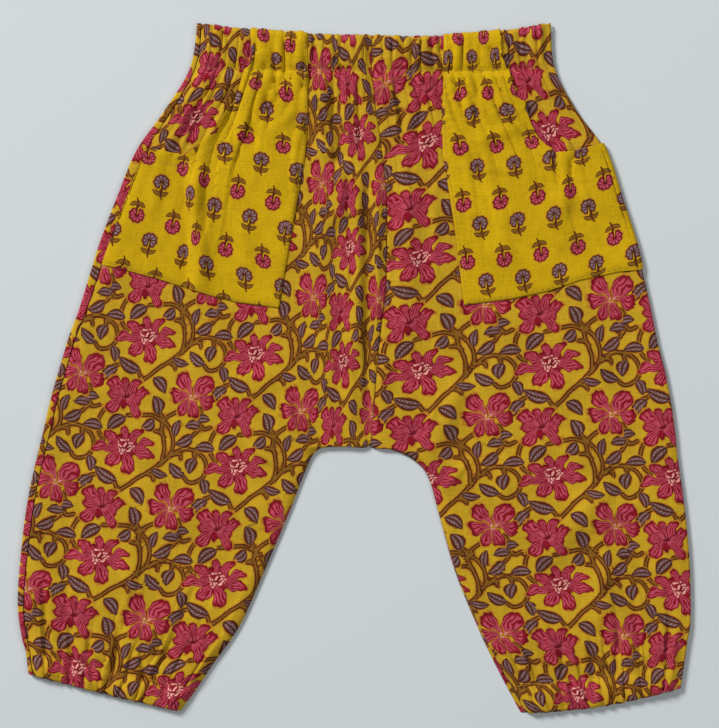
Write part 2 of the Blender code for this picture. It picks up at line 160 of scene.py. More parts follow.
# The largest soft folds of the front: where each runs, its half width and its height (mm)
FOLD_COLUMNS = ("x", "y", "end_x", "end_y", "half_width", "height")
FOLDS = {
    "valley beside the centre seam": (8.7, 128.0, 8.7, -50.0, 3.2, -2.0),
    "ridge right of the valley": (1.5, 130.0, 1.0, -44.0, 6.0, 1.6),
    "ridge left of the valley": (14.0, 124.0, 13.5, -40.0, 4.5, 1.2),
    "tuck under the waist": (-27.0, 165.0, -11.0, 117.0, 5.0, 1.7),
    "tail of the tuck": (-11.0, 122.0, -11.0, 78.0, 5.0, 1.4),
    "hollow beside the tuck": (-19.0, 160.0, -3.0, 112.0, 4.0, -1.2),
    "long fold of the right seat": (-22.0, 95.0, -14.0, -30.0, 7.0, 1.0),
    "long fold of the left seat": (34.0, 135.0, 30.0, 0.0, 7.0, 1.1),
    "fold into the right crotch corner": (-24.0, -52.0, -58.0, 4.0, 6.0, 1.1),
    "fold into the left crotch corner": (40.0, -56.0, 66.0, -4.0, 6.0, 1.1),
    "tuck of the right pocket": (-92.0, 124.0, -88.0, 40.0, 5.0, 1.8),
    "hollow of the right pocket": (-98.5, 120.0, -96.0, 44.0, 4.0, -0.8),
    "pleat of the left pocket mouth": (121.0, 138.0, 122.0, 84.0, 4.5, 1.3),
    "right knee fold": (-150.0, -60.0, -96.0, -104.0, 8.0, 1.0),
    "left knee fold": (150.0, -66.0, 104.0, -118.0, 8.0, 1.0),
    "right shin fold": (-128.0, -92.0, -132.0, -150.0, 6.0, 0.9),
    "left shin fold": (146.0, -104.0, 142.0, -156.0, 6.0, 0.9),
}
FOLD_FADE = 0.22
FOLD_GAIN = 1.9
CREASE_GAIN = 1.45

# Narrower creases, each steeper on one side than on the other: where it runs, its width left
# and right of that line, looking along it, and its height (mm, below 0 for a furrow)
CREASE_COLUMNS = ("x", "y", "end_x", "end_y", "left", "right", "height")
CREASES = (
    (-24.5, 168.0, -5.8, 119.5, 4.5, 1.1, 1.9),
    (-7.5, 126.0, -9.3, 86.0, 4.0, 1.1, 1.5),
    (-47.6, 199.0, -43.6, 150.0, 1.3, 1.6, -2.0),
    (-39.5, 199.0, -41.6, 158.0, 1.3, 1.3, -1.8),
    (-34.0, 150.0, -45.0, 139.0, 3.0, 2.0, 1.0),
    (-52.0, 172.0, -49.0, 134.0, 1.6, 3.0, -1.1),
    (-60.0, 158.0, -55.5, 122.0, 2.0, 3.5, -0.9),
    (-73.0, 150.0, -64.0, 118.0, 1.6, 3.0, -0.9),
    (-96.4, 124.0, -92.5, 60.0, 3.2, 1.2, 1.5),
    (-88.0, 118.0, -86.0, 70.0, 2.0, 5.0, -0.9),
    (-112.0, 116.0, -118.0, 84.0, 4.0, 3.0, 0.6),
    (-68.0, 92.0, -60.0, 50.0, 6.0, 4.0, 0.7),
    (116.4, 127.0, 118.2, 98.0, 1.8, 1.2, -1.4),
    (128.0, 127.0, 125.4, 104.0, 1.2, 2.0, -1.2),
    (70.0, 172.0, 73.0, 138.0, 1.6, 2.6, -1.2),
    (60.5, 176.0, 62.0, 146.0, 1.4, 1.8, -1.2),
    (79.5, 168.0, 84.0, 140.0, 2.4, 1.6, -1.0),
    (66.0, 132.0, 104.0, 141.0, 3.0, 4.0, 0.7),
    (60.0, 120.0, 96.0, 112.0, 3.5, 3.0, 0.5),
    (84.0, 96.0, 92.0, 56.0, 5.0, 4.0, 0.7),
    (108.0, 92.0, 128.0, 66.0, 4.0, 5.0, 0.6),
    (146.0, 118.0, 158.0, 84.0, 3.0, 4.0, 0.7),
    (24.0, 172.0, 27.0, 120.0, 2.4, 1.4, -1.4),
    (38.0, 170.0, 38.5, 126.0, 1.5, 2.2, -1.3),
    (3.5, 172.0, 2.0, 118.0, 2.0, 1.3, -1.6),
    (-13.0, 172.0, -12.5, 134.0, 1.5, 2.0, -1.2),
    (21.0, 118.0, 24.0, 40.0, 3.0, 2.0, -1.0),
    (48.0, 118.0, 46.0, 44.0, 3.0, 4.0, 0.7),
    (-2.0, 112.0, -3.0, 20.0, 2.4, 1.6, -1.1),
    (-27.0, 110.0, -24.0, 30.0, 3.0, 4.0, 0.7),
    (2.0, 20.0, 4.0, -42.0, 2.0, 3.0, -1.0),
    (-30.0, -46.0, -44.0, -8.0, 2.6, 1.6, 0.9),
    (-34.0, -66.0, -66.0, -40.0, 2.2, 3.2, 0.8),
    (36.0, -50.0, 52.0, -14.0, 1.6, 2.6, 0.9),
    (48.0, -72.0, 74.0, -50.0, 3.0, 2.0, 0.8),
    (-150.0, 20.0, -124.0, -8.0, 5.0, 4.0, 0.6),
    (-172.0, -54.0, -132.0, -70.0, 4.0, 5.0, 0.7),
    (-182.0, -120.0, -177.0, -178.0, 2.0, 1.2, -1.3),
    (-166.0, -130.0, -163.0, -182.0, 1.4, 2.4, -1.1),
    (-153.7, -148.0, -152.0, -190.0, 1.8, 1.4, -1.3),
    (-138.0, -140.0, -139.0, -190.0, 1.3, 2.0, -1.1),
    (-122.0, -152.0, -123.5, -194.0, 2.0, 1.5, -1.2),
    (-108.0, -156.0, -111.0, -196.0, 1.4, 2.0, -1.0),
    (-90.0, -120.0, -112.0, -150.0, 3.0, 5.0, 0.7),
    (-64.0, -110.0, -92.0, -150.0, 3.0, 4.0, 0.6),
    (104.0, -158.0, 106.0, -198.0, 1.5, 2.2, -1.1),
    (120.0, -150.0, 121.0, -196.0, 2.0, 1.4, -1.3),
    (137.0, -156.0, 138.5, -194.0, 1.4, 2.2, -1.1),
    (152.0, -146.0, 153.0, -192.0, 2.2, 1.4, -1.3),
    (168.0, -150.0, 169.0, -190.0, 1.4, 2.0, -1.1),
    (182.0, -140.0, 182.5, -186.0, 1.4, 1.8, -1.0),
    (160.0, 16.0, 128.0, -16.0, 4.0, 5.0, 0.6),
    (176.0, -70.0, 140.0, -92.0, 5.0, 4.0, 0.7),
    (92.0, -40.0, 84.0, -86.0, 4.0, 5.0, 0.6),
)

# Where the big flower of the floral print lies on each front: its column and row in the
# repeat, and its middle in millimetres
RIGHT_PRINT_PLACES = (
    (0, -2, -97.4, 146.7),
    (0, 0, -123.5, 18.6),
    (0, 1, -134.6, -42.9),
    (0, 2, -149.1, -110.8),
    (0, 3, -156.6, -175.7),
    (1, 0, -58.0, 7.0),
    (1, 1, -62.1, -56.8),
    (1, 2, -76.0, -123.0),
    (1, 3, -103.2, -186.2),
    (1.49, -1.55, -13.3, 105.6),
    (1.49, -0.55, -22.6, 41.8),
    (1.49, 0.45, -31.3, -24.9),
    (2, -2, 1.2, 138.0),
    (2, -1, -5.2, 70.5),
    (2, 0, -7.2, 0.6),
    (2.49, -1.55, 15.1, 107.3),
    (2.49, -0.55, 15.1, 38.9),
    (2.49, 0.45, 12.2, -26.1),
    (1.32, -2.55, -19.5, 169.8),
    (1.63, -2.44, -0.8, 164.0),
)
LEFT_PRINT_PLACES = (
    (0, -2, 37.1, 128.8),
    (0, -1, 37.1, 63.8),
    (0, 0, 40.0, -1.7),
    (1, 0, 115.4, 2.9),
    (1, 1, 117.2, -61.2),
    (1, 2, 119.5, -125.9),
    (2, 1, 185.6, -62.6),
    (2, 2, 188.5, -129.3),
    (0.024, -2.44, 41.0, 158.5),
    (-0.288, -2.55, 24.4, 169.0),
)
REPEAT = (70.0, 64.4)

# The floral print, in millimetres from the middle of the big flower, x right and y up.
# Each flower: its middle, the radius its petals grow from, how blunt their tips are, and its
# petals as direction, half width (both in degrees) and reach
FLOWERS = (
    (
        (0.0, 0.0),
        7.6,
        2.1,
        (
            (107, 20, 12.8), (61, 19, 14.2), (20, 17, 17.6), (351, 18, 18.6), (289, 29, 16.0),
            (230, 25, 15.8), (192, 15, 21.8), (158, 20, 16.6),
        ),
    ),
    (
        (-6.5, -36.0),
        6.8,
        2.4,
        (
            (59, 22, 13.2), (101, 19, 11.6), (146, 29, 14.6), (185, 17, 12.6), (222, 24, 15.6),
            (321, 22, 16.4), (349, 17, 12.6), (16, 24, 14.6),
        ),
    ),
    (
        (34.0, -29.0),
        5.4,
        2.7,
        (
            (126, 31, 16.2), (49, 34, 16.2), (353, 26, 16.6), (289, 32, 13.2), (237, 23, 13.0),
            (186, 29, 14.2),
        ),
    ),
)
# Each leaf: its middle, the direction of its tip (degrees), its length and its width
LEAF_FULLNESS = 1.12
LEAVES = (
    (-8.4, -18.4, 160, 16.0, 6.5),
    (-19.9, -25.3, 229.5, 13.2, 6.0),
    (13.4, -25.5, -39, 12.2, 6.4),
    (23.2, -11.0, -10, 11.0, 4.5),
    (32.8, -7.7, 149, 12.7, 5.8),
    (41.3, -3.2, 255, 9.8, 6.5),
    (34.6, 9.8, 216, 12.1, 6.2),
    (13.9, -37.1, 116.5, 11.3, 7.0),
    (10.9, -49.5, 222, 9.5, 6.2),
    (-9.2, -52.0, 226, 14.0, 6.8),
    (28.2, -48.0, 80, 10.4, 4.8),
    (37.8, -45.0, 188, 9.6, 5.2),
    (-18.4, -13.8, -69, 9.8, 5.5),
    (-22.5, 8.0, 185, 12.6, 5.6),
    (-26.5, -40.6, 10, 9.0, 4.8),
)
# Each stem: the points that its smooth line runs through
STEMS = (
    ((-0.2, -26.9), (6.5, -20.7), (10.3, -16.5), (16.4, -11.5), (22.5, -5.4), (28.7, 1.9)),
    ((19.1, -46.1), (19.2, -49.3), (20.6, -53.4), (22.5, -58.1), (23.4, -62.1), (23.2, -68.6)),
    ((19.7, -45.6), (22.8, -47.7), (26.2, -52.0), (28.1, -57.8), (27.3, -63.8), (23.5, -69.5)),
    ((19.1, -46.1), (12.7, -43.7), (6.8, -44.4), (-2.8, -46.5)),
    ((19.1, -45.8), (18.0, -43.3), (16.1, -41.0)),
    ((19.5, -45.7), (22.2, -42.1), (26.6, -39.0)),
    ((40.2, -34.9), (42.6, -39.0), (42.4, -44.3), (40.8, -48.4), (36.3, -53.4)),
    ((42.5, -43.3), (44.9, -46.2), (48.8, -44.6)),
    (
        (28.1, 0.7), (32.0, 3.8), (37.0, 5.6), (42.5, 5.2), (47.8, 2.4), (50.8, -2.8),
        (50.0, -8.3), (46.0, -11.9), (41.5, -12.8), (38.4, -10.4),
    ),
    ((28.7, 0.7), (31.5, 2.0), (33.4, 1.8), (34.4, -0.3)),
    ((41.6, 4.2), (42.5, 1.3)),
    ((15.6, 12.3), (19.1, 11.9), (21.8, 9.7)),
    (
        (-12.0, -42.0), (-16.5, -45.0), (-19.0, -49.5), (-19.6, -54.5), (-18.0, -59.5), (-14.0, -63.2),
    ),
    ((0.8, -24.8), (-1.7, -20.6)),
    ((-14.1, -19.1), (-18.0, -21.0)),
    ((15.8, -12.1), (19.2, -13.2), (20.7, -15.0)),
    ((40.7, -44.4), (42.0, -45.4)),
)

# Flat width of the cloth over the width shown, by place down a front
FULLNESS = ((0.0, 1.5), (1.0, 1.42), (2.0, 1.2), (3.2, 1.0), (16.4, 1.0), (18.0, 1.25), (19.0, 1.35))

# How much wider the cloth beside the centre seam is than it lies
CENTRE_FULLNESS = 0.62

# How far from its edge a pocket is stitched down, and its mouth hemmed (mm)
EDGE_STITCH = 1.8
MOUTH_STITCH = 7.0
# A stitch's rounded thread: place along it, its girth and how high it lies, in thicknesses
STITCH_RINGS = ((0.0, 0.25, -0.35), (0.18, 0.9, 0.1), (0.5, 1.0, 0.2), (0.82, 0.9, 0.1), (1.0, 0.25, -0.35))
STITCH_SIDES = 6

FRONT_ROWS = 300
FRONT_COLUMNS = 142
FOLD_COLUMNS_FINE = 6
POCKET_ROWS = 130
POCKET_COLUMNS = 90

SIDES = {
    "right": {
        "leg": RIGHT_LEG,
        "phase": 0.4,
        "print_places": RIGHT_PRINT_PLACES,
        "pocket_top": ((-26.7, 194.5), (-59.2, 197.0), (-58.5, 182.0), (-60.3, 177.0), (-65.0, 167.0), (-67.3, 158.3), (-73.7, 150.8), (-80.0, 138.6), (-88.2, 131.0), (-97.4, 123.5), (-127.0, 128.6)),
        "pocket_foot": ((-43.5, 34.8), (-70.2, 38.3), (-83.5, 41.8), (-114.8, 51.6), (-137.5, 58.0), (-152.0, 60.6)),
        "pocket_inner": (
            (34.8, -43.5),
            (56.3, -40.0),
            (87.0, -34.8),
            (123.0, -28.4),
            (140.4, -26.7),
            (194.5, -26.7),
        ),
        "mouth_from": 0.2,
        "pattern": {
            "row": (20.6, -6.6),
            "column": (-7.0, -33.6),
            "start": (-68.9, 124.2),
            "bend": (0.0, 0.0, -60.0),
            "tuck": (-92.5, 5.3, 4.0, 400.0, 45.0),
            "crowd_middle": -45.0,
            "crowded": (
                (118.0, 0.0, 1.0, 0.0),
                (127.0, 0.8, 1.0, 1.0),
                (148.0, 4.1, 1.0, 4.8),
                (163.5, 5.6, 1.2, 4.2),
                (179.0, 6.2, 1.44, 9.6),
                (195.0, 8.6, 1.3, 11.0),
            ),
        },
    },
    "left": {
        "leg": LEFT_LEG,
        "phase": 1.4,
        "print_places": LEFT_PRINT_PLACES,
        "pocket_top": ((52.2, 195.0), (84.7, 197.0), (85.3, 181.0), (90.5, 170.5), (94.0, 158.3), (98.6, 153.7), (103.0, 142.0), (107.0, 134.0), (116.0, 124.7), (127.0, 125.9), (135.7, 128.2), (145.0, 129.8)),
        "pocket_foot": ((63.8, 36.5), (91.6, 40.0), (113.7, 44.7), (131.7, 51.0), (153.7, 55.7), (167.0, 57.0)),
        "pocket_inner": (
            (36.5, 63.8),
            (60.3, 60.9),
            (83.0, 58.0),
            (105.0, 54.5),
            (123.0, 51.6),
            (140.4, 51.0),
            (195.0, 52.2),
        ),
        "mouth_from": 0.2,
        "pattern": {
            "row": (21.3, 0.0),
            "column": (3.6, -33.5),
            "start": (70.2, 113.0),
            "bend": (0.04, 0.00136, 62.0),
            "tuck": (121.0, 2.0, 4.0, 138.0, 80.0),
            "crowd_middle": 75.0,
            "crowded": (
                (118.0, 0.0, 1.0, 0.0),
                (149.0, -2.8, 1.05, 2.6),
                (159.0, -2.5, 1.3, 3.0),
                (180.0, -1.8, 1.6, 3.8),
                (195.0, -2.4, 1.4, 5.0),
            ),
        },
    },
}


def between(table, value, column=1):
    """Straight-line reading of a column of a table, for an array of values."""
    rows = np.array(table)
    return np.interp(value, rows[:, 0], rows[:, column])


def sections(leg, place):
    """Sections at places between rows, on smooth curves through the table: a dict of arrays."""
    rows = np.array([leg[name] for name in ROW_NAMES])
    row = np.minimum(place.astype(int), HEM_ROW - 1)
    share = (place - row)[..., None]
    steps = [rows[np.clip(row + step, 0, HEM_ROW)] for step in (-1, 0, 1, 2)]
    values = (
        steps[0] * (-0.5 * share + share**2 - 0.5 * share**3)
        + steps[1] * (1 - 2.5 * share**2 + 1.5 * share**3)
        + steps[2] * (0.5 * share + 2 * share**2 - 1.5 * share**3)
        + steps[3] * (-0.5 * share**2 + 0.5 * share**3)
    )
    return {name: values[..., column] for column, name in enumerate(ROW_COLUMNS)}


def on_section(row, share):
    """X and Y at shares of the sections, which hang below straight lines by their drop."""
    x = row["inner_x"] + (row["outer_x"] - row["inner_x"]) * share
    y = row["inner_y"] + (row["outer_y"] - row["inner_y"]) * share
    return x, y - row["drop"] * 4 * share * (1 - share)


def smooth(value):
    """Soft step from 0 to 1."""
    value = np.clip(value, 0.0, 1.0)
    return value * value * (3 - 2 * value)


def cloud(x, y, size, seed):
    """Soft uneven field between -1 and 1, with lumps of the size given."""
    grid = np.random.default_rng(seed).uniform(-1, 1, (64, 64))
    u, v = x / size + 512.0, y / size + 512.0
    i, j = np.floor(u).astype(int), np.floor(v).astype(int)
    a, b = smooth(u - i), smooth(v - j)
    low = grid[i % 64, j % 64] * (1 - a) + grid[(i + 1) % 64, j % 64] * a
    high = grid[i % 64, (j + 1) % 64] * (1 - a) + grid[(i + 1) % 64, (j + 1) % 64] * a
    return low * (1 - b) + high * b


def fold_rise(x, y):
    """Height that the large soft folds add at points of the front."""
    total = np.zeros(np.broadcast(x, y).shape)
    for values in FOLDS.values():
        fold = dict(zip(FOLD_COLUMNS, values))
        run_x = fold["end_x"] - fold["x"]
        run_y = fold["end_y"] - fold["y"]
        length = math.hypot(run_x, run_y)
        along = ((x - fold["x"]) * run_x + (y - fold["y"]) * run_y) / length**2
        across = ((x - fold["x"]) * run_y - (y - fold["y"]) * run_x) / length
        fade = smooth(np.minimum(along, 1 - along) / FOLD_FADE)
        total += fold["height"] * np.exp(-((across / fold["half_width"]) ** 2)) * fade
    return total


def crease_rise(x, y):
    """Height of the narrow creases, which rise steeply on one side."""
    total = np.zeros(np.broadcast(x, y).shape)
    for values in CREASES:
        crease = dict(zip(CREASE_COLUMNS, values))
        run_x = crease["end_x"] - crease["x"]
        run_y = crease["end_y"] - crease["y"]
        length = math.hypot(run_x, run_y)
        along = ((x - crease["x"]) * run_x + (y - crease["y"]) * run_y) / length**2
        across = ((x - crease["x"]) * run_y - (y - crease["y"]) * run_x) / length
        across = across + 0.9 * np.sin(along * 5.0 + crease["x"])
        width = np.where(across > 0, crease["right"], crease["left"])
        fade = smooth(np.minimum(along, 1 - along) / 0.35)
        total += crease["height"] * np.exp(-((across / width) ** 2)) * fade
    return total


def small_unevenness(x, y):
    """The slight hollows and lumps of cotton that has been worn and laid down."""
    lean = x + 0.25 * y
    return 0.35 * cloud(lean, y * 0.45, 13.0, 11) + 0.28 * cloud(lean, y, 30.0, 12) + 0.09 * cloud(x, y, 5.0, 13)


def gather_phase(count, phase, share, width):
    """Place among the gathers: even numbers are troughs and odd ones are crests."""
    last = 2 * count
    steps = np.arange(last + 1.0)
    uneven = steps + GATHER_UNEVENNESS * np.sin(2.1 * steps + phase)
    uneven[0], uneven[-1] = 0.0, last
    edge = 0.8 / width
    inside = np.clip((share - edge) / (1 - 2 * edge), 0, 1)
    return np.interp(inside * last, uneven, steps)


def gathered_rise(place, share, width, phase):
    """Height of the casing's roll and of its gathers, each of its own depth and reach."""
    rise = 0.0
    for count, table in ((WAIST_GATHERS, WAIST_RISE), (CUFF_GATHERS, CUFF_RISE)):
        at_waist = count == WAIST_GATHERS
        chosen = place < ROW_NAMES.index("seat") if at_waist else place >= ROW_NAMES.index("seat")
        wander = share + 0.006 * np.sin(place * 3.1 + share * 20.0) * (1 - share) * share * 4
        turn = gather_phase(count, phase, wander, width)
        own = np.floor(turn / 2)
        depth = 1.0 + 0.75 * np.sin(own * 4.3 + phase * 3.0)
        reach = 0.55 * np.sin(own * 2.7 + phase)
        shifted = place + np.where(place > 1.2, reach * (place - 1.2), 0.0) if at_waist else place
        sharpness = 0.4 + 0.5 * smooth((place - 1.0) / 1.6) if at_waist else 0.4 + 0.5 * smooth(17.8 - place)
        crest = np.abs(np.sin(turn * math.pi / 2)) ** sharpness
        second = 0.18 * np.sin(turn * 2.9 + phase * 5.0 + place)
        rolled = between(table, shifted, 1)
        gather = between(table, shifted, 2)
        pinched = gather * (1.1 - (1 - crest) * 1.2 * depth + second)
        rise = np.where(chosen, np.maximum(-0.3, rolled - PLAIN_ROLL + pinched), rise)
    return rise


def panel_width(row, place):
    """Where a front section starts, its flat width, its seam's place and its straight length."""
    length = np.hypot(row["outer_x"] - row["inner_x"], row["outer_y"] - row["inner_y"])
    seam = row["seam_place"] + SEAM_GAP / 2
    start = row["inseam_strip"] + np.where(place <= CROTCH_ROW, 0.05, 0.0)
    width = length - FOLD_RADIUS - np.maximum(seam - FOLD_TRAVEL, 0.0) - start
    return start, width, seam, length


def front_points(leg, phase, place, share):
    """The front's outer surface at places and shares of its sections: arrays of x, y, height.

    Shares past 1 go on round the side fold, a whole unit of share to the seam.
    """
    row = sections(leg, place)
    start, width, seam, length = panel_width(row, place)
    flat_share = np.clip(share, 0.0, 1.0)
    inward = start + flat_share * width
    x, y = on_section(row, inward / length)
    turn = gather_phase(WAIST_GATHERS, phase, flat_share, width)
    crest = np.abs(np.sin(turn * math.pi / 2))
    own = 0.55 + 0.45 * np.sin(np.floor(turn / 2) * 2.9 + phase)
    y += np.where(place <= 0.5, EDGE_SCALLOP * own * (crest - 0.5) * (1 - place / 0.5), 0.0)
    cuff_turn = gather_phase(CUFF_GATHERS, phase, flat_share, width)
    cuff_crest = np.abs(np.sin(cuff_turn * math.pi / 2))
    y -= np.where(place >= 18.5, HEM_SCALLOP * own * (cuff_crest - 0.5) * (place - 18.5) / 0.5, 0.0)
    outward = (1 - flat_share) * width
    seam_side = np.where(
        place <= CROTCH_ROW, between(CENTRE_SEAM_RISE, inward - start), between(INSEAM_RISE, inward - start)
    )
    side = between(SIDE_RISE, outward)
    settled = np.where(inward > outward, np.maximum(seam_side, side), seam_side)
    held = np.clip((np.minimum(inward - start, outward) - 0.8) / HELD_REACH, 0, 1)
    free = gathered_rise(place, flat_share, width, phase) + FOLD_GAIN * fold_rise(x, y)
    free = free + CREASE_GAIN * crease_rise(x, y) + small_unevenness(x, y)
    height = settled + held * free
    height = FRONT_LOW + np.where(height > -0.7, height, -0.7)
    past = np.clip(share - 1, 0, 1)
    travel = FOLD_TRAVEL + (np.minimum(seam, FOLD_TRAVEL) - FOLD_TRAVEL) * past
    bend = travel / SOLID_FOLD_RADIUS - math.pi / 2
    fold_inward = FOLD_RADIUS * (1 - np.cos(bend))
    fold_x, fold_y = on_section(row, 1 - fold_inward / length)
    wraps = (past > 0) & (seam < FOLD_TRAVEL)
    x = np.where(wraps, fold_x, x)
    y = np.where(wraps, fold_y, y)
    height = np.where(wraps, FOLD_RADIUS * (1 + np.sin(bend)), height)
    return x, y, height


def back_points(leg, place, share):
    """The back's outer surface: flat below, then up and over the side fold for shares past 1."""
    row = sections(leg, place)
    length = np.hypot(row["outer_x"] - row["inner_x"], row["outer_y"] - row["inner_y"])
    seam = row["seam_place"] - SEAM_GAP / 2
    towards_left = np.sign(row["outer_x"] - row["inner_x"])
    aside = BACK_SEAM_SHIFT * np.clip(CROTCH_ROW - place, 0, 1) * towards_left
    start = np.where(place <= CROTCH_ROW, SEAM_GAP / 2 + aside, 0.0)
    flat_end = length - FOLD_RADIUS
    flat = start + (flat_end - start) * np.clip(share, 0, 1)
    past = np.clip(share - 1, 0, 1)
    travel = seam * past
    bend = np.minimum(travel, FOLD_TRAVEL) / SOLID_FOLD_RADIUS - math.pi / 2
    over = np.maximum(travel - FOLD_TRAVEL, 0.0)
    folded = length - FOLD_RADIUS * (1 - np.cos(bend)) - over
    inward = np.where(past > 0, folded, flat)
    x, y = on_section(row, inward / length)
    height = np.where(past > 0, FOLD_RADIUS * (1 + np.sin(bend)), 0.0)
    return x, y, height


def spread_out(side, x, y):
    """Distance across a front once the small folds beside its centre seam are drawn flat."""
    if side == "left":
        return x
    fullness = CENTRE_FULLNESS * (1 - 0.8 * smooth((y - 105.0) / 50.0))
    return x + fullness * np.logaddexp(0.0, (x + 24.0) / 3.0) * 3.0


def print_map(side, x, y):
    """Cloth coordinates of points, fitted smoothly through the places of the flowers."""
    table = np.array(SIDES[side]["print_places"], dtype=float)

    def terms(px, py):
        px, py = spread_out(side, px, py) / 100, py / 100
        return np.stack([np.ones_like(px), px, py, px * py, px * px, py * py], axis=-1)

    fit = np.linalg.lstsq(terms(table[:, 2], table[:, 3]), table[:, :2], rcond=None)[0]
    cells = terms(x, y) @ fit
    return cells[..., 0] * REPEAT[0], -cells[..., 1] * REPEAT[1]


def wrapped(value, size):
    """A coordinate brought into the repeat that has 0 in its middle."""
    return value - size * np.round(value / size)


def nearest_flower(u, v):
    """Where each point lies from the middle of its nearest flower, and which kind that is."""
    best = np.full(u.shape, 1e9)
    across, up, kind = np.zeros(u.shape), np.zeros(u.shape), np.zeros(u.shape)
    for number, (middle, radius, blunt, petals) in enumerate(FLOWERS):
        x = wrapped(u - middle[0], REPEAT[0])
        y = wrapped(v - middle[1], REPEAT[1])
        distance = np.hypot(x, y)
        closer = distance < best
        best = np.where(closer, distance, best)
        across, up = np.where(closer, x, across), np.where(closer, y, up)
        kind = np.where(closer, number, kind)
    return across, up, kind, best


def nearest_leaf(u, v):
    """Where each point lies in its nearest leaf: 1 is the tip, or half the leaf's width."""
    best = np.full(u.shape, 1e9)
    along, across, tint = np.zeros(u.shape), np.zeros(u.shape), np.zeros(u.shape)
    for number, (middle_x, middle_y, turn, length, width) in enumerate(LEAVES):
        x = wrapped(u - middle_x, REPEAT[0])
        y = wrapped(v - middle_y, REPEAT[1])
        cosine, sine = math.cos(math.radians(turn)), math.sin(math.radians(turn))
        own_along = (x * cosine + y * sine) / (length / 2)
        own_across = (y * cosine - x * sine) / (width * LEAF_FULLNESS / 2) * (-1) ** number
        distance = np.hypot(own_along, own_across)
        closer = distance < best
        best = np.where(closer, distance, best)
        along, across = np.where(closer, own_along, along), np.where(closer, own_across, across)
        tint = np.where(closer, number % 5 / 4, tint)
    return along, across, tint, best


def smooth_line(corners, steps=5):
    """Points on a smooth curve through corners."""
    line = np.array([corners[0], *corners, corners[-1]], dtype=float)
    points = []
    for k in range(1, len(line) - 2):
        for step in range(steps):
            t = step / steps
            points.append(
                line[k - 1] * (-0.5 * t + t**2 - 0.5 * t**3)
                + line[k] * (1 - 2.5 * t**2 + 1.5 * t**3)
                + line[k + 1] * (0.5 * t + 2 * t**2 - 1.5 * t**3)
                + line[k + 2] * (-0.5 * t**2 + 0.5 * t**3)
            )
    return points + [line[-1]]


def stem_distance(u, v):
    """Distance of each point from its nearest stem, and on which side of the stem it is."""
    best = np.full(u.shape, 8.0)
    side = np.ones(u.shape)
    for corners in STEMS:
        line = smooth_line(corners)
        for start, end in zip(line, line[1:]):
            x = wrapped(u - start[0], REPEAT[0])
            y = wrapped(v - start[1], REPEAT[1])
            run = end - start
            along = np.clip((x * run[0] + y * run[1]) / (run @ run), 0, 1)
            distance = np.hypot(x - run[0] * along, y - run[1] * along)
            closer = distance < best
            best = np.where(closer, distance, best)
            side = np.where(closer, np.where(x * run[1] - y * run[0] < 0, -1.0, 1.0), side)
    return best, side


def lay_floral_print(u, v):
    """The floral print's coordinates over a sheet, in millimetres of cloth."""
    across, up, kind, middle_distance = nearest_flower(u, v)
    leaf_along, leaf_across, tint, leaf_distance = nearest_leaf(u, v)
    stem, side = stem_distance(u, v)
    return {
        "flower": (across, up, kind),
        "leaf": (leaf_along, leaf_across, tint),
        "stem": (stem, stem * side, side),
        "nearness": (middle_distance, leaf_distance, leaf_distance),
    }


def lay_pocket_print(u, v, pattern):
    """The pocket print's coordinates: rows of flowers, in turn mauve, and red upside down."""
    row, column = np.array(pattern["row"]), np.array(pattern["column"])
    inverse = np.linalg.inv(np.stack([row, column], axis=1))
    best = np.full(u.shape, 1e9)
    across, up, kind = np.zeros(u.shape), np.zeros(u.shape), np.zeros(u.shape)
    down = column / np.hypot(*column)
    for number, middle in enumerate((np.zeros(2), column / 2 - row / 2 + np.array((0.0, 2.0)))):
        x = u - pattern["start"][0] - middle[0]
        y = v - pattern["start"][1] - middle[1]
        i = np.round(inverse[0, 0] * x + inverse[0, 1] * y)
        j = np.round(inverse[1, 0] * x + inverse[1, 1] * y)
        x = x - row[0] * i - column[0] * j
        y = y - row[1] * i - column[1] * j
        turned = 1 - 2 * number
        own_up = -(x * down[0] + y * down[1]) * turned
        own_across = (x * -down[1] + y * down[0]) * turned
        distance = np.hypot(x, y)
        closer = distance < best
        best = np.where(closer, distance, best)
        across, up = np.where(closer, own_across, across), np.where(closer, own_up, up)
        kind = np.where(closer, number, kind)
    return {"flower": (across, up, kind), "nearness": (best, best, best)}


def cloth_mesh(name, x, y, z, cloth_u, cloth_v, thickness, printed, lower=False):
    """A sheet over a grid of points in millimetres, with its cloth coordinates, made a shell."""
    rows, columns = x.shape
    points = np.stack([x - TABLE_MIDDLE[0], y - TABLE_MIDDLE[1], z], axis=-1).reshape(-1, 3) * MM
    index = np.arange(rows * columns).reshape(rows, columns)
    quads = np.stack([index[:-1, :-1], index[1:, :-1], index[1:, 1:], index[:-1, 1:]], axis=-1)
    quads = quads.reshape(-1, 4)
    mesh = bpy.data.meshes.new(name)
    mesh.from_pydata(points.tolist(), [], quads.tolist())
    mesh.update()
    upward = sum(face.normal.z for face in mesh.polygons)
    if (upward < 0) != lower:
        mesh.flip_normals()
    corners = np.empty(len(mesh.loops), dtype=int)
    mesh.loops.foreach_get("vertex_index", corners)
    layer = mesh.uv_layers.new(name="Cloth")
    places = np.stack([cloth_u.ravel(), cloth_v.ravel()], axis=-1)[corners]
    layer.uv.foreach_set("vector", places.astype(np.float32).ravel())
    for label, values in printed.items():
        attribute = mesh.attributes.new(label, "FLOAT_VECTOR", "POINT")
        stacked = np.stack(values, axis=-1).astype(np.float32)
        attribute.data.foreach_set("vector", stacked.ravel())
    mesh.shade_smooth()
    piece = bpy.data.objects.new(name, mesh)
    bpy.context.scene.collection.objects.link(piece)
    shell = piece.modifiers.new("shell", "SOLIDIFY")
    shell.thickness = thickness * MM
    shell.offset = -1.0
    bpy.ops.object.select_all(action="DESELECT")
    piece.select_set(True)
    bpy.context.view_layer.objects.active = piece
    bpy.ops.object.modifier_apply(modifier=shell.name)
    return piece


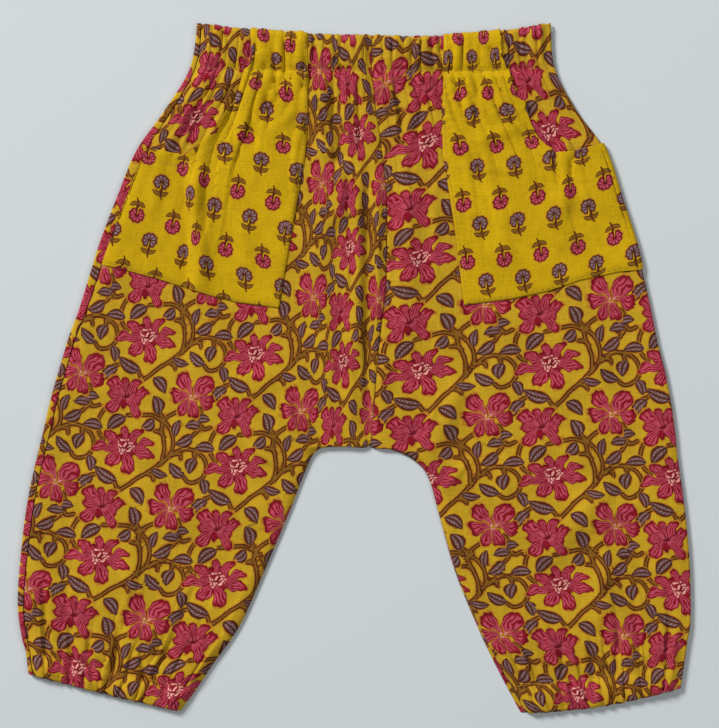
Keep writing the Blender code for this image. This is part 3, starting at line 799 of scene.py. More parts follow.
def row_places(count):
    """Places of the fine sections: closer in the casings than down the leg."""
    return np.interp(
        np.linspace(0, 1, count), (0.0, 0.08, 0.2, 0.77, 0.92, 1.0), (0.0, 1.1, 3.4, 15.5, 18.0, 19.0)
    )


def finish_piece(piece, node, material):
    """Seat a finished piece in the frame and give it its cloth."""
    piece.data.materials.clear()
    piece.data.materials.append(material)
    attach(piece, "root")
    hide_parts(node)


def solid(colour):
    """A colour with its fourth value, or a socket as it is."""
    return colour if isinstance(colour, bpy.types.NodeSocket) else (*colour, 1.0)


class Sketch:
    """Puts down the nodes of one material, one after another."""

    def __init__(self, name):
        self.material = bpy.data.materials.new(name)
        self.material.use_nodes = True
        self.tree = self.material.node_tree
        self.shader = self.tree.nodes["Principled BSDF"]

    def put(self, kind, values, output=0, **choices):
        node = self.tree.nodes.new(kind)
        for name, value in choices.items():
            setattr(node, name, value)
        for place, value in values.items():
            self.feed(node.inputs[place], value)
        return node.outputs[output]

    def feed(self, socket, value):
        if isinstance(value, bpy.types.NodeSocket):
            self.tree.links.new(value, socket)
        else:
            socket.default_value = value

    def sum(self, operation, *values):
        return self.put("ShaderNodeMath", dict(enumerate(values)), operation=operation)

    def split(self, vector):
        node = self.tree.nodes.new("ShaderNodeSeparateXYZ")
        self.feed(node.inputs[0], vector)
        return node.outputs[0], node.outputs[1], node.outputs[2]

    def own(self, name):
        """The three values of one of the sheet's attributes."""
        return self.split(self.put("ShaderNodeAttribute", {}, 1, attribute_name=name))

    def step(self, value, low, high):
        """Soft step that rises from 0 at low to 1 at high."""
        return self.put(
            "ShaderNodeMapRange", {0: value, 1: low, 2: high, 3: 0.0, 4: 1.0}, interpolation_type="SMOOTHSTEP"
        )

    def blend(self, share, first, second, **choices):
        values = {0: share, 6: solid(first), 7: solid(second)}
        return self.put("ShaderNodeMix", values, 2, data_type="RGBA", **choices)

    def noise(self, vector, scale, detail=2.0):
        return self.put("ShaderNodeTexNoise", {0: vector, 2: scale, 3: detail})

    def hypotenuse(self, x, y):
        squared = self.sum("MULTIPLY_ADD", y, y, self.sum("MULTIPLY", x, x))
        return self.sum("SQRT", squared)

    def lookup(self, value, tables):
        """Three readings of tables, each of even steps over values from 0 to 1."""
        node = self.tree.nodes.new("ShaderNodeRGBCurve")
        for curve, readings in zip(node.mapping.curves, tables):
            last = len(readings) - 1
            curve.points[0].location = (0.0, readings[0])
            curve.points[1].location = (1.0, readings[last])
            for k in range(1, last):
                curve.points.new(k / last, readings[k])
            for point in curve.points:
                point.handle_type = "VECTOR"
        node.mapping.update()
        self.feed(node.inputs["Color"], value)
        return node.outputs["Color"]


def petal_tables(radius, blunt, petals, heart):
    """Outline, place across the petal and heart of a flower, by direction from -180 degrees."""
    directions = np.arange(0, 361, 2) - 180.0
    reach = np.full(directions.shape, float(radius))
    across = np.full(directions.shape, 0.5)
    for middle, half, length in petals:
        off = (directions - middle + 180) % 360 - 180
        t = np.clip(off / half, -1, 1)
        frill = 1 + 0.035 * np.cos(off * 0.42) * (1 - np.abs(t))
        own = radius * 0.8 + (length - radius * 0.8) * (1 - np.abs(t) ** blunt) ** (1.35 / blunt) * frill
        larger = (np.abs(off) < half) & (own > reach)
        reach = np.where(larger, own, reach)
        across = np.where(larger, (t + 1) / 2, across)
    return reach / 25, across, np.full(directions.shape, heart / 25)


def weave(sketch, colour, settings):
    """Finish the cloth: uneven handloom threads in its colour, its sheen and its surface."""
    place = sketch.put("ShaderNodeUVMap", {}, uv_map="Cloth")
    warp = sketch.put("ShaderNodeMapping", {0: place, 3: (1500.0, 110.0, 1.0)})
    weft = sketch.put("ShaderNodeMapping", {0: place, 3: (110.0, 1500.0, 1.0)})
    threads = sketch.sum("ADD", sketch.noise(warp, 1.0), sketch.noise(weft, 1.0))
    tone = sketch.put("ShaderNodeMapRange", {0: threads, 1: 0.6, 2: 1.4, 3: 0.8, 4: 1.2})
    wide = sketch.put("ShaderNodeMapRange", {0: sketch.noise(place, 45.0, 5.0), 1: 0.3, 2: 0.7, 3: 0.88, 4: 1.12})
    woven = sketch.put("ShaderNodeVectorMath", {0: colour, 3: sketch.sum("MULTIPLY", tone, wide)}, operation="SCALE")
    sketch.feed(sketch.shader.inputs["Base Color"], woven)
    bump = sketch.put("ShaderNodeBump", {"Strength": 0.25, "Distance": 0.0002, "Height": threads})
    sketch.feed(sketch.shader.inputs["Normal"], bump)
    sketch.shader.inputs["Roughness"].default_value = 0.88
    sketch.shader.inputs["Specular IOR Level"].default_value = 0.1
    sketch.shader.inputs["Sheen Weight"].default_value = 0.04
    sketch.shader.inputs["Sheen Roughness"].default_value = 0.5
    return sketch.material


def floral_print(settings):
    """Pink block-printed flowers and mauve leaves on winding brown stems, on yellow."""
    sketch = Sketch("floral print")
    step, sum_, blend = sketch.step, sketch.sum, sketch.blend
    middle_distance, leaf_distance, unused = sketch.own("nearness")
    place = sketch.put("ShaderNodeUVMap", {}, uv_map="Cloth")
    wobble = sum_("SUBTRACT", sketch.noise(place, 420.0), 0.5)

    plain_distance, sided, side = sketch.own("stem")
    sided = sum_("ABSOLUTE", sided)
    honest = sum_("LESS_THAN", sum_("SUBTRACT", plain_distance, sided), 0.95)
    stem = sum_("MULTIPLY_ADD", honest, sum_("SUBTRACT", sided, plain_distance), plain_distance)
    stem = sum_("MULTIPLY_ADD", wobble, 0.7, stem)
    stem_body = step(stem, 1.42, 1.24)
    stem_rim = step(stem, 0.38, 0.58)
    stem_colour = blend(stem_rim, settings.stem, settings.stem_line)
    colour = blend(step(stem, 2.3, 1.5), settings.ground, settings.halo)
    colour = blend(stem_body, colour, stem_colour)

    along, across, tint = sketch.own("leaf")
    slack = sum_("MULTIPLY_ADD", leaf_distance, -0.42, 0.64)
    honest = sum_("LESS_THAN", sum_("SUBTRACT", leaf_distance, sketch.hypotenuse(along, across)), slack)
    honest = sum_("MULTIPLY", honest, sum_("LESS_THAN", leaf_distance, 1.27))
    squared = sum_("MULTIPLY", along, along)
    bent = sum_("MULTIPLY_ADD", squared, 0.42, sum_("SUBTRACT", across, 0.16))
    pointed = sum_("POWER", sum_("MAXIMUM", sum_("SUBTRACT", 1.0, squared), 0.0001), 0.8)
    profile = sum_("MULTIPLY", pointed, sum_("MULTIPLY_ADD", along, -0.22, 1.0))
    aside = sum_("ABSOLUTE", bent)
    edge = sum_("MULTIPLY_ADD", wobble, 0.25, sum_("DIVIDE", aside, profile))
    honest = sum_("MULTIPLY", honest, step(squared, 1.0, 0.96))
    leaf_body = sum_("MULTIPLY", step(edge, 1.06, 0.96), honest)
    vein = sum_("PINGPONG", sum_("MULTIPLY_ADD", aside, -1.6, sum_("MULTIPLY", along, 3.6)), 0.5)
    vein = step(sum_("MULTIPLY_ADD", wobble, 0.8, vein), 0.33, 0.45)
    leaf_colour = blend(vein, settings.leaf, settings.leaf_line)
    dark = sum_("MAXIMUM", step(edge, 0.5, 0.66), step(aside, 0.22, 0.1))
    leaf_colour = blend(dark, leaf_colour, settings.leaf_edge)
    colour = blend(sum_("MULTIPLY", step(edge, 1.3, 1.12), honest), colour, settings.halo)
    colour = blend(leaf_body, colour, leaf_colour)

    flower = sketch.put("ShaderNodeAttribute", {}, 1, attribute_name="flower")
    x, y, kind = sketch.split(flower)
    honest = sum_("LESS_THAN", sum_("SUBTRACT", middle_distance, sketch.hypotenuse(x, y)), 1.5)
    curl = sketch.put("ShaderNodeTexNoise", {0: flower, 2: 0.13, 3: 1.0}, 1)
    curled = sketch.put("ShaderNodeVectorMath", {0: curl, 1: (7.6, 7.6, 0.0), 2: flower}, operation="MULTIPLY_ADD")
    x, y, unused = sketch.split(curled)
    x, y = sum_("SUBTRACT", x, 3.8), sum_("SUBTRACT", y, 3.8)
    radius = sketch.hypotenuse(x, y)
    turn = sum_("MULTIPLY_ADD", sum_("ARCTAN2", y, x), 0.5 / math.pi, 0.5)
    readings = [
        sketch.lookup(turn, petal_tables(base, blunt, petals, heart))
        for (middle, base, blunt, petals), heart in zip(FLOWERS, (5.0, 0.6, 2.4))
    ]
    chosen = blend(sum_("GREATER_THAN", kind, 0.5), readings[0], readings[1])
    chosen = blend(sum_("GREATER_THAN", kind, 1.5), chosen, readings[2])
    reach, petal, heart = sketch.split(chosen)
    reach = sum_("MULTIPLY", reach, 23.8)
    heart = sum_("MULTIPLY", heart, 25.0)
    inside = sum_("SUBTRACT", sum_("MULTIPLY_ADD", wobble, 1.6, reach), radius)
    body = sum_("MULTIPLY", step(inside, -0.12, 0.15), honest)
    rim = step(inside, 2.7, 1.0)
    outward = sum_("DIVIDE", radius, reach)
    hatch = sum_("PINGPONG", sum_("MULTIPLY", petal, 5.0), 0.5)
    reachable = sum_("MULTIPLY_ADD", outward, 0.2, sum_("MULTIPLY_ADD", wobble, 0.7, 0.12))
    lines = sum_("MULTIPLY", step(sum_("SUBTRACT", hatch, reachable), -0.04, 0.08), step(outward, 0.2, 0.42))
    gap = step(sum_("MULTIPLY", sum_("PINGPONG", petal, 0.5), radius), 0.75, 0.4)
    deep = sum_("MULTIPLY", step(sum_("SUBTRACT", radius, heart), 1.4, -0.6), 0.6)
    dark = sum_("MAXIMUM", sum_("MAXIMUM", rim, lines), deep)
    petal_colour = blend(dark, settings.petal, settings.petal_edge)
    petal_colour = blend(step(inside, 0.95, 0.5), petal_colour, settings.petal_line)
    gap_colour = blend(sum_("GREATER_THAN", kind, 1.5), settings.petal_line, settings.halo)
    petal_colour = blend(gap, petal_colour, gap_colour)
    dots = sketch.put(
        "ShaderNodeTexVoronoi",
        {0: curled, 2: 0.52, 8: 0.8},
        voronoi_dimensions="2D",
    )
    stamens = sum_("MULTIPLY", step(dots, 0.4, 0.28), step(sum_("SUBTRACT", radius, heart), 0.2, -0.4))
    petal_colour = blend(stamens, petal_colour, settings.stamen)
    halo = sum_("MULTIPLY", step(inside, -1.35, -0.5), honest)
    colour = blend(halo, colour, settings.halo)
    colour = blend(body, colour, petal_colour)
    return weave(sketch, colour, settings)


def pointed_leaf(sketch, along, across):
    """Below 1 inside a leaf whose tips lie at -1 and 1 along it and whose half width is 1."""
    profile = sketch.sum("MAXIMUM", sketch.sum("MULTIPLY_ADD", sketch.sum("MULTIPLY", along, along), -1.0, 1.0), 0.02)
    return sketch.sum("DIVIDE", sketch.sum("ABSOLUTE", across), profile)


def pocket_print(settings):
    """Rows of small fan-shaped flowers, mauve, and pink upside down, on bright yellow."""
    sketch = Sketch("pocket print")
    step, sum_, blend = sketch.step, sketch.sum, sketch.blend
    place = sketch.put("ShaderNodeUVMap", {}, uv_map="Cloth")
    wobble = sum_("SUBTRACT", sketch.noise(place, 520.0), 0.5)
    x, y, kind = sketch.own("flower")
    distance = sketch.own("nearness")[0]
    honest = sum_("LESS_THAN", sum_("SUBTRACT", distance, sketch.hypotenuse(x, y)), 1.2)
    edge_colour = blend(kind, settings.leaf_edge, settings.petal_line)
    fill_colour = blend(kind, settings.mauve, settings.petal)

    head_x = sum_("ADD", x, 0.5)
    head_y = sum_("SUBTRACT", y, 3.7)
    radius = sketch.hypotenuse(head_x, head_y)
    turn = sum_("ARCTAN2", head_x, head_y)
    fan = sum_("MULTIPLY", turn, 8 / 5.6)
    petal = sum_("PINGPONG", fan, 0.5)
    reach = sum_("MULTIPLY_ADD", petal, 1.0, sum_("MULTIPLY_ADD", wobble, 0.9, 4.15))
    inside = sum_("SUBTRACT", reach, radius)
    open_side = step(sum_("ABSOLUTE", turn), 3.02, 2.92)
    head = sum_("MULTIPLY", step(inside, -0.1, 0.1), open_side)
    line = step(sum_("MULTIPLY", petal, radius), 0.48, 0.28)
    dark = sum_("MAXIMUM", sum_("MAXIMUM", step(inside, 1.05, 0.8), line), step(radius, 1.25, 1.0))
    dark = sum_("MAXIMUM", dark, step(sum_("ABSOLUTE", turn), 2.7, 2.82))
    head_colour = blend(dark, fill_colour, edge_colour)

    aside = sum_("ABSOLUTE", x)
    own_x = sum_("SUBTRACT", aside, 2.3)
    own_y = sum_("ADD", y, 2.7)
    along = sum_("MULTIPLY_ADD", own_x, 0.29, sum_("MULTIPLY", own_y, 0.18))
    across = sum_("MULTIPLY_ADD", own_x, -0.40, sum_("MULTIPLY", own_y, 0.64))
    outer_leaf = pointed_leaf(sketch, along, across)
    upright = sum_("MULTIPLY_ADD", y, 0.38, 0.99)
    middle_leaf = pointed_leaf(sketch, upright, sum_("MULTIPLY", x, 0.72))
    leaf = sum_("MULTIPLY_ADD", wobble, 0.3, sum_("MINIMUM", outer_leaf, middle_leaf))
    lean = sum_("ABSOLUTE", sum_("MULTIPLY_ADD", sum_("MINIMUM", sum_("ADD", y, 3.0), 0.0), 0.35, x))
    stalk = sum_("MULTIPLY", step(lean, 0.55, 0.35), step(sum_("ABSOLUTE", sum_("ADD", y, 1.6)), 4.9, 4.6))
    leaf_colour = blend(step(leaf, 0.5, 0.72), settings.stem, settings.stem_line)

    halo = sum_("MULTIPLY", step(inside, -0.9, -0.3), open_side)
    colour = blend(sum_("MULTIPLY", halo, honest), settings.pocket_ground, settings.halo)
    colour = blend(sum_("MULTIPLY", step(leaf, 1.06, 0.94), honest), colour, leaf_colour)
    colour = blend(sum_("MULTIPLY", stalk, honest), colour, settings.stem_line)
    colour = blend(sum_("MULTIPLY", head, honest), colour, head_colour)
    return weave(sketch, colour, settings)


def plain_material(name, colour):
    material = bpy.data.materials.new(name)
    material.use_nodes = True
    shader = material.node_tree.nodes["Principled BSDF"]
    shader.inputs["Base Color"].default_value = (*colour, 1.0)
    shader.inputs["Roughness"].default_value = 0.9
    return material


def place_on_leg(leg, x, y):
    """Place and share of points that lie flat on a front, found between its finest sections."""
    places = row_places(400)
    row = sections(leg, places)
    start, width, seam, length = panel_width(row, places)
    run_x = row["outer_x"] - row["inner_x"]
    along = (x[..., None] - row["inner_x"]) / run_x
    sag = row["drop"] * 4 * along * (1 - along)
    above = row["inner_y"] + (row["outer_y"] - row["inner_y"]) * along - sag - y[..., None]
    lower = np.clip(np.sum(above > 0, axis=-1), 1, len(places) - 1)
    high = np.take_along_axis(above, (lower - 1)[..., None], -1)[..., 0]
    low = np.take_along_axis(above, lower[..., None], -1)[..., 0]
    step = np.clip(high / np.where(high - low == 0, 1, high - low), 0, 1)
    place = places[lower - 1] + (places[lower] - places[lower - 1]) * step
    here = sections(leg, place)
    start, width, seam, length = panel_width(here, place)
    inward = (x - here["inner_x"]) / (here["outer_x"] - here["inner_x"]) * length
    return place, np.clip((inward - start) / width, 0.0, 1.0)


def along_line(corners, count):
    """Even points along a line through corners."""
    line = np.array(corners, dtype=float)
    steps = np.concatenate([[0.0], np.cumsum(np.hypot(*np.diff(line, axis=0).T))])
    even = np.linspace(0, steps[-1], count)
    return np.interp(even, steps, line[:, 0]), np.interp(even, steps, line[:, 1])


def grid_normals(x, y, z):
    """Upward directions of the surface through a grid of points."""
    grid = np.stack([x, y, z], axis=-1)
    cross = np.cross(np.gradient(grid, axis=1), np.gradient(grid, axis=0))
    length = np.linalg.norm(cross, axis=-1, keepdims=True)
    cross = cross / np.where(length == 0, 1, length)
    return cross * np.where(np.sum(cross[..., 2]) < 0, -1.0, 1.0)


def gathered_cloth(leg, phase, place, share, u):
    """Cloth coordinate across a front once the waist and the cuff are drawn up."""
    row = sections(leg, place)
    width = panel_width(row, place)[1]
    middle = u[:, [u.shape[1] // 2]]
    fullness = between(FULLNESS, place)
    turn = np.where(
        place < ROW_NAMES.index("seat"),
        gather_phase(WAIST_GATHERS, phase, np.clip(share, 0, 1), width),
        gather_phase(CUFF_GATHERS, phase, np.clip(share, 0, 1), width),
    )
    pitch = np.where(place < ROW_NAMES.index("seat"), 6.0, 7.0)
    swallowed = (fullness - 1) * pitch * 0.16 * np.sin(turn * math.pi)
    return middle + (u - middle) * fullness + swallowed * np.sign(u[:, [-1]] - u[:, [0]])


def pocket_cloth(pattern, x, y):
    """Cloth coordinates of a pocket, with what its tuck swallows."""
    tuck_x, swallowed, width, top, foot = pattern["tuck"]
    reach = smooth((top - y) / 12.0) * smooth((y - foot) / 25.0)
    slope, curve, from_x = pattern["bend"]
    v = y - slope * (x - from_x) - curve * (x - from_x) ** 2
    u = x + swallowed * np.tanh((x - tuck_x) / width) * reach
    aside, fullness, rise = (between(pattern["crowded"], y, column) for column in (1, 2, 3))
    return u + aside + (fullness - 1) * (x - pattern["crowd_middle"]), v + rise


def front_panel(side, settings):
    """One front: a fine sheet with every gather and fold."""
    leg, phase = SIDES[side]["leg"], SIDES[side]["phase"]
    place = row_places(FRONT_ROWS)[:, None] * np.ones(FRONT_COLUMNS + FOLD_COLUMNS_FINE)
    flat = np.linspace(0, 1, FRONT_COLUMNS)
    flat = np.concatenate([flat, 1 + np.arange(1, FOLD_COLUMNS_FINE + 1) / FOLD_COLUMNS_FINE])
    share = flat * np.ones((FRONT_ROWS, 1))
    x, y, z = front_points(leg, phase, place, share)
    u, v = print_map(side, x, y)
    u = gathered_cloth(leg, phase, place, share, u)
    printed = lay_floral_print(u, v)
    thickness = settings.cloth_thickness / MM
    return cloth_mesh("front_" + side, x, y, z, u * MM, v * MM, thickness, printed)


def back_panel(side, settings):
    """One back: flat on the ground, turned up round the side fold."""
    leg = SIDES[side]["leg"]
    columns = np.concatenate([np.linspace(0, 1, 50), 1 + np.arange(1, 15) / 14])
    place = row_places(200)[:, None] * np.ones(len(columns))
    share = columns * np.ones((200, 1))
    x, y, z = back_points(leg, place, share)
    u, v = print_map(side, x, y)
    u = u + 31.0
    v = v + 17.0
    printed = lay_floral_print(u, v)
    thickness = settings.cloth_thickness / MM
    return cloth_mesh("back_" + side, x, y, z, u * MM, v * MM, thickness, printed, True)


def pocket_patch(side, settings):
    """One patch pocket, laid over the gathers and folds of its front."""
    info = SIDES[side]
    leg, phase = info["leg"], info["phase"]
    top_x, top_y = along_line(info["pocket_top"], POCKET_COLUMNS)
    foot_x, foot_y = along_line(info["pocket_foot"], POCKET_COLUMNS)
    down = np.linspace(0, 1, POCKET_ROWS)[:, None]
    x = top_x + (foot_x - top_x) * down
    y = top_y + (foot_y - top_y) * down
    inner_edge = np.interp(y, *np.array(info["pocket_inner"]).T)
    x = x + (inner_edge - x[:, :1]) * np.linspace(1, 0, POCKET_COLUMNS)
    place, share = place_on_leg(leg, x, y)
    extra = np.arange(1, 9) / 8
    place = np.concatenate([place, place[:, -1:] * np.ones(8)], axis=1)
    share = np.concatenate([share, 1 + extra * np.ones((POCKET_ROWS, 1))], axis=1)
    x, y, z = front_points(leg, phase, place, share)
    from_inner = np.hypot(x - x[:, :1], y - y[:, :1])
    from_foot = np.hypot(x - x[-1:], y - y[-1:])
    from_top = np.hypot(x - x[:1], y - y[:1])
    lift = 0.62 + 0.55 * smooth(np.minimum(from_inner, from_foot) / 4.0)
    mouth = (np.arange(x.shape[1]) > info["mouth_from"] * POCKET_COLUMNS) * np.ones_like(x)
    lift += mouth * 0.5 * (1 - smooth(from_top / 9.0))
    normal = grid_normals(x, y, z)
    u, v = pocket_cloth(info["pattern"], x, y)
    x = x + normal[..., 0] * lift
    y = y + normal[..., 1] * lift
    z = z + normal[..., 2] * lift
    printed = lay_pocket_print(u, v, info["pattern"])
    thickness = settings.cloth_thickness / MM
    return cloth_mesh("pocket_cloth_" + side, x, y, z, u * MM, v * MM, thickness, printed)


def stitch_line(corners, length, pitch):
    """The ends of each stitch along a line through corners, in the tables' millimetres."""
    line = np.array(corners, dtype=float)
    steps = np.concatenate([[0.0], np.cumsum(np.hypot(*np.diff(line, axis=0).T))])
    starts = np.arange(pitch / 2, steps[-1] - length, pitch)
    ends = starts + length
    return [
        (
            (np.interp(a, steps, line[:, 0]), np.interp(a, steps, line[:, 1])),
            (np.interp(b, steps, line[:, 0]), np.interp(b, steps, line[:, 1])),
        )
        for a, b in zip(starts, ends)
    ]


def inside_line(corners, distance):
    """A line through corners moved to its right by a distance."""
    line = np.array(corners, dtype=float)
    run = np.gradient(line, axis=0)
    run /= np.maximum(np.hypot(run[:, 0], run[:, 1]), 0.001)[:, None]
    return line + np.stack([run[:, 1], -run[:, 0]], axis=-1) * distance


def surface_height(piece, x, y):
    """Height of a piece's upper face over a point of the tables, or None beside the piece."""
    origin = ((x - TABLE_MIDDLE[0]) * MM, (y - TABLE_MIDDLE[1]) * MM, 0.1)
    hit, place, normal, face = piece.ray_cast(origin, (0.0, 0.0, -1.0))
    return place.z / MM if hit and normal.z > 0 else None


def stitch_rings(start, end, low, high, thickness):
    """The points of one stitch's thread, ring after ring, from its start to its end."""
    length = math.hypot(end[0] - start[0], end[1] - start[1])
    run_x, run_y = (end[0] - start[0]) / length, (end[1] - start[1]) / length
    points = []
    for along, girth, lift in STITCH_RINGS:
        x = start[0] + (end[0] - start[0]) * along - TABLE_MIDDLE[0]
        y = start[1] + (end[1] - start[1]) * along - TABLE_MIDDLE[1]
        z = low + (high - low) * along + lift * thickness
        for side in range(STITCH_SIDES):
            turn = 2 * math.pi * side / STITCH_SIDES
            across = thickness / 2 * girth * math.cos(turn)
            up = thickness / 2 * girth * math.sin(turn)
            points.append(((x - run_y * across) * MM, (y + run_x * across) * MM, (z + up) * MM))
    return points


def stitch_faces(first):
    """The faces of one stitch whose points begin at a number."""
    faces = []
    for ring in range(len(STITCH_RINGS) - 1):
        for side in range(STITCH_SIDES):
            a = first + ring * STITCH_SIDES + side
            b = first + ring * STITCH_SIDES + (side + 1) % STITCH_SIDES
            faces.append((a, b, b + STITCH_SIDES, a + STITCH_SIDES))
    last = first + (len(STITCH_RINGS) - 1) * STITCH_SIDES
    faces.append(tuple(first + side for side in reversed(range(STITCH_SIDES))))
    faces.append(tuple(last + side for side in range(STITCH_SIDES)))
    return faces


def sew(name, piece, lines, material, settings):
    """Stitches along lines on a piece's upper face, as one mesh of short rounded threads."""
    points, faces = [], []
    for line in lines:
        for start, end in stitch_line(line, settings.stitch_length / MM, settings.stitch_pitch / MM):
            low, high = surface_height(piece, *start), surface_height(piece, *end)
            if low is None or high is None or abs(low - high) > 1.6:
                continue
            faces += stitch_faces(len(points))
            points += stitch_rings(start, end, low, high, settings.thread_thickness / MM)
    mesh = bpy.data.meshes.new(name)
    mesh.from_pydata(points, [], faces)
    mesh.update()
    mesh.shade_smooth()
    mesh.materials.append(material)
    threads = bpy.data.objects.new(name, mesh)
    bpy.context.scene.collection.objects.link(threads)
    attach(threads, "root")
    return threads


def across_front(leg, place, first=0.02, last=0.98):
    """The points of a section of a front, from one share of it to another."""
    row = sections(leg, np.full(60, place))
    start, width, seam, length = panel_width(row, np.full(60, place))
    x, y = on_section(row, (start + np.linspace(first, last, 60) * width) / length)
    return np.stack([x, y], axis=-1)


class PantsSettings(PropertyGroup):
    """Sizes and colours of the pants' cloth and prints."""

    cloth_thickness: FloatProperty(
        name="Cloth thickness", description="Thickness of the cotton", default=0.0006, unit="LENGTH"
    )
    stitch_length: FloatProperty(
        name="Stitch", description="Length of a stitch", default=0.0023, unit="LENGTH"
    )
    stitch_pitch: FloatProperty(
        name="Stitch pitch", description="From one stitch to the next", default=0.0031, unit="LENGTH"
    )
    thread_thickness: FloatProperty(
        name="Thread thickness", description="Thickness of the thread", default=0.00032, unit="LENGTH"
    )
    ground: FloatVectorProperty(
        name="Yellow ground", description="Colour of the dyed cotton", default=(0.495, 0.30, 0.012), subtype="COLOR"
    )
    pocket_ground: FloatVectorProperty(
        name="Pocket yellow", description="Colour of the pockets' cotton", default=(0.53, 0.325, 0.002), subtype="COLOR"
    )
    petal: FloatVectorProperty(
        name="Petals", description="Pink of the flowers", default=(0.455, 0.062, 0.098), subtype="COLOR"
    )
    petal_edge: FloatVectorProperty(
        name="Petal rims", description="Crimson of the petals' rims", default=(0.225, 0.005, 0.013), subtype="COLOR"
    )
    petal_line: FloatVectorProperty(
        name="Petal lines", description="Dark crimson outlines", default=(0.125, 0.003, 0.008), subtype="COLOR"
    )
    stamen: FloatVectorProperty(
        name="Stamens", description="Hearts of the flowers", default=(0.74, 0.33, 0.27), subtype="COLOR"
    )
    leaf: FloatVectorProperty(
        name="Leaves", description="Mauve of the leaves", default=(0.15, 0.076, 0.08), subtype="COLOR"
    )
    leaf_line: FloatVectorProperty(
        name="Leaf veins", description="Pale veins of the leaves", default=(0.31, 0.20, 0.20), subtype="COLOR"
    )
    leaf_edge: FloatVectorProperty(
        name="Leaf outlines", description="Dark outlines", default=(0.075, 0.017, 0.004), subtype="COLOR"
    )
    stem: FloatVectorProperty(
        name="Stems", description="Olive brown of the stems", default=(0.21, 0.092, 0.009), subtype="COLOR"
    )
    stem_line: FloatVectorProperty(
        name="Stem outlines", description="Dark brown outlines", default=(0.085, 0.017, 0.003), subtype="COLOR"
    )
    halo: FloatVectorProperty(
        name="Rims", description="Orange rims round the printed forms", default=(0.43, 0.17, 0.014), subtype="COLOR"
    )
    mauve: FloatVectorProperty(
        name="Pocket mauve", description="Mauve of the pockets' small flowers", default=(0.22, 0.125, 0.14), subtype="COLOR"
    )
    thread: FloatVectorProperty(
        name="Thread", description="Colour of the stitches", default=(0.42, 0.25, 0.03), subtype="COLOR"
    )
    floor: FloatVectorProperty(
        name="Floor", description="Colour of the floor", default=(0.60, 0.64, 0.65), subtype="COLOR"
    )


def made_once(name, make, settings):
    """A material by its name, made the first time that it is asked for."""
    return bpy.data.materials.get(name) or make(settings)


def sewing_thread(settings):
    return plain_material("thread", settings.thread)


class PANTS_OT_backs(Operator):
    """Make the two backs"""

    bl_idname = "pants.backs"
    bl_label = "Backs"

    def execute(self, context):
        settings = context.scene.pants
        cotton = made_once("floral print", floral_print, settings)
        for side in SIDES:
            back = back_panel(side, settings)
            finish_piece(back, "back_panel_" + side, cotton)
        return {"FINISHED"}


class PANTS_OT_fronts(Operator):
    """Make the two fronts with their gathers, and the stitches of their casings"""

    bl_idname = "pants.fronts"
    bl_label = "Fronts"

    def execute(self, context):
        settings = context.scene.pants
        cotton = made_once("floral print", floral_print, settings)
        thread = made_once("thread", sewing_thread, settings)
        for side, info in SIDES.items():
            front = front_panel(side, settings)
            finish_piece(front, "front_panel_" + side, cotton)
            context.view_layer.update()
            casings = [across_front(info["leg"], 1.0), across_front(info["leg"], 18.0)]
            sewn = sew("casing_stitches_" + side, front, casings, thread, settings)
        return {"FINISHED"}


class PANTS_OT_pockets(Operator):
    """Make the two patch pockets and their topstitching"""

    bl_idname = "pants.pockets"
    bl_label = "Pockets"

    def execute(self, context):
        settings = context.scene.pants
        cotton = made_once("pocket print", pocket_print, settings)
        thread = made_once("thread", sewing_thread, settings)
        for side, info in SIDES.items():
            patch = pocket_patch(side, settings)
            finish_piece(patch, "pocket_" + side, cotton)
            context.view_layer.update()
            inward = 1 if side == "right" else -1
            inner_edge = [(x, y) for y, x in reversed(info["pocket_inner"])]
            edges = [
                inside_line(info["pocket_foot"], inward * EDGE_STITCH),
                inside_line(inner_edge, inward * EDGE_STITCH),
                inside_line(info["pocket_top"][3:], -inward * MOUTH_STITCH),
                across_front(info["leg"], 1.0),
            ]
            sewn = sew("pocket_stitches_" + side, patch, edges, thread, settings)
        return {"FINISHED"}


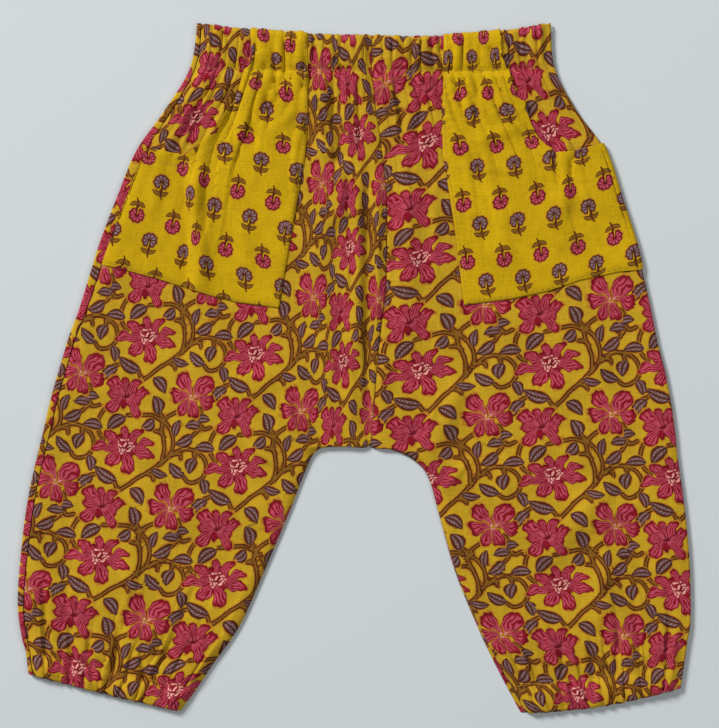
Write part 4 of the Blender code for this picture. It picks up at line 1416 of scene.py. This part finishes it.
class PANTS_OT_stage(Operator):
    """Make the floor, the lights and the camera"""

    bl_idname = "pants.stage"
    bl_label = "Floor, light and camera"

    def execute(self, context):
        settings = context.scene.pants
        bpy.ops.mesh.primitive_plane_add(size=6.0, location=(0, 0, 0))
        floor = context.active_object
        floor.name = "floor"
        floor.data.materials.append(plain_material("floor", settings.floor))
        for name, where, size, power in (
            ("sky panel", (-2.6, 2.6, 2.6), 1.2, 221.0),
            ("side panel", (2.2, -0.4, 3.0), 2.2, 36.0),
        ):
            light = bpy.data.lights.new(name, "AREA")
            light.shape = "SQUARE"
            light.size = size
            light.energy = power
            lamp = bpy.data.objects.new(name, light)
            context.scene.collection.objects.link(lamp)
            lamp.location = where
            towards = -lamp.location.normalized()
            lamp.rotation_euler = towards.to_track_quat("-Z", "Y").to_euler()
        world = bpy.data.worlds.new("studio")
        world.use_nodes = True
        world.node_tree.nodes["Background"].inputs["Color"].default_value = (0.92, 0.96, 1.0, 1.0)
        world.node_tree.nodes["Background"].inputs["Strength"].default_value = 0.185
        context.scene.world = world
        context.scene.view_settings.view_transform = "Standard"
        view = bpy.data.cameras.new("photo view")
        view.lens = 85.3
        view.sensor_width = 36.0
        view.clip_end = 20.0
        camera = bpy.data.objects.new("photo view", view)
        context.scene.collection.objects.link(camera)
        camera.location = (2.9 * MM, 2.6 * MM, 1.004)
        context.scene.camera = camera
        return {"FINISHED"}


class PANTS_PT_tools(Panel):
    """The pants' parts, in the order they are made"""

    bl_label = "Baby harem pants"
    bl_idname = "PANTS_PT_tools"
    bl_space_type = "VIEW_3D"
    bl_region_type = "UI"
    bl_category = "Pants"

    def draw(self, context):
        settings = context.scene.pants
        column = self.layout.column()
        for name in PantsSettings.__annotations__:
            column.prop(settings, name)
        for operator in OPERATORS:
            column.operator(operator.bl_idname)


OPERATORS = (PANTS_OT_backs, PANTS_OT_fronts, PANTS_OT_pockets, PANTS_OT_stage)
CLASSES = (PantsSettings, *OPERATORS, PANTS_PT_tools)


def register():
    for item in CLASSES:
        bpy.utils.register_class(item)
    bpy.types.Scene.pants = PointerProperty(type=PantsSettings)


def unregister():
    del bpy.types.Scene.pants
    for item in reversed(CLASSES):
        bpy.utils.unregister_class(item)


def main():
    register()
    bpy.ops.pants.backs()
    bpy.ops.pants.fronts()
    bpy.ops.pants.pockets()
    bpy.ops.pants.stage()


if __name__ == "__main__":
    main()
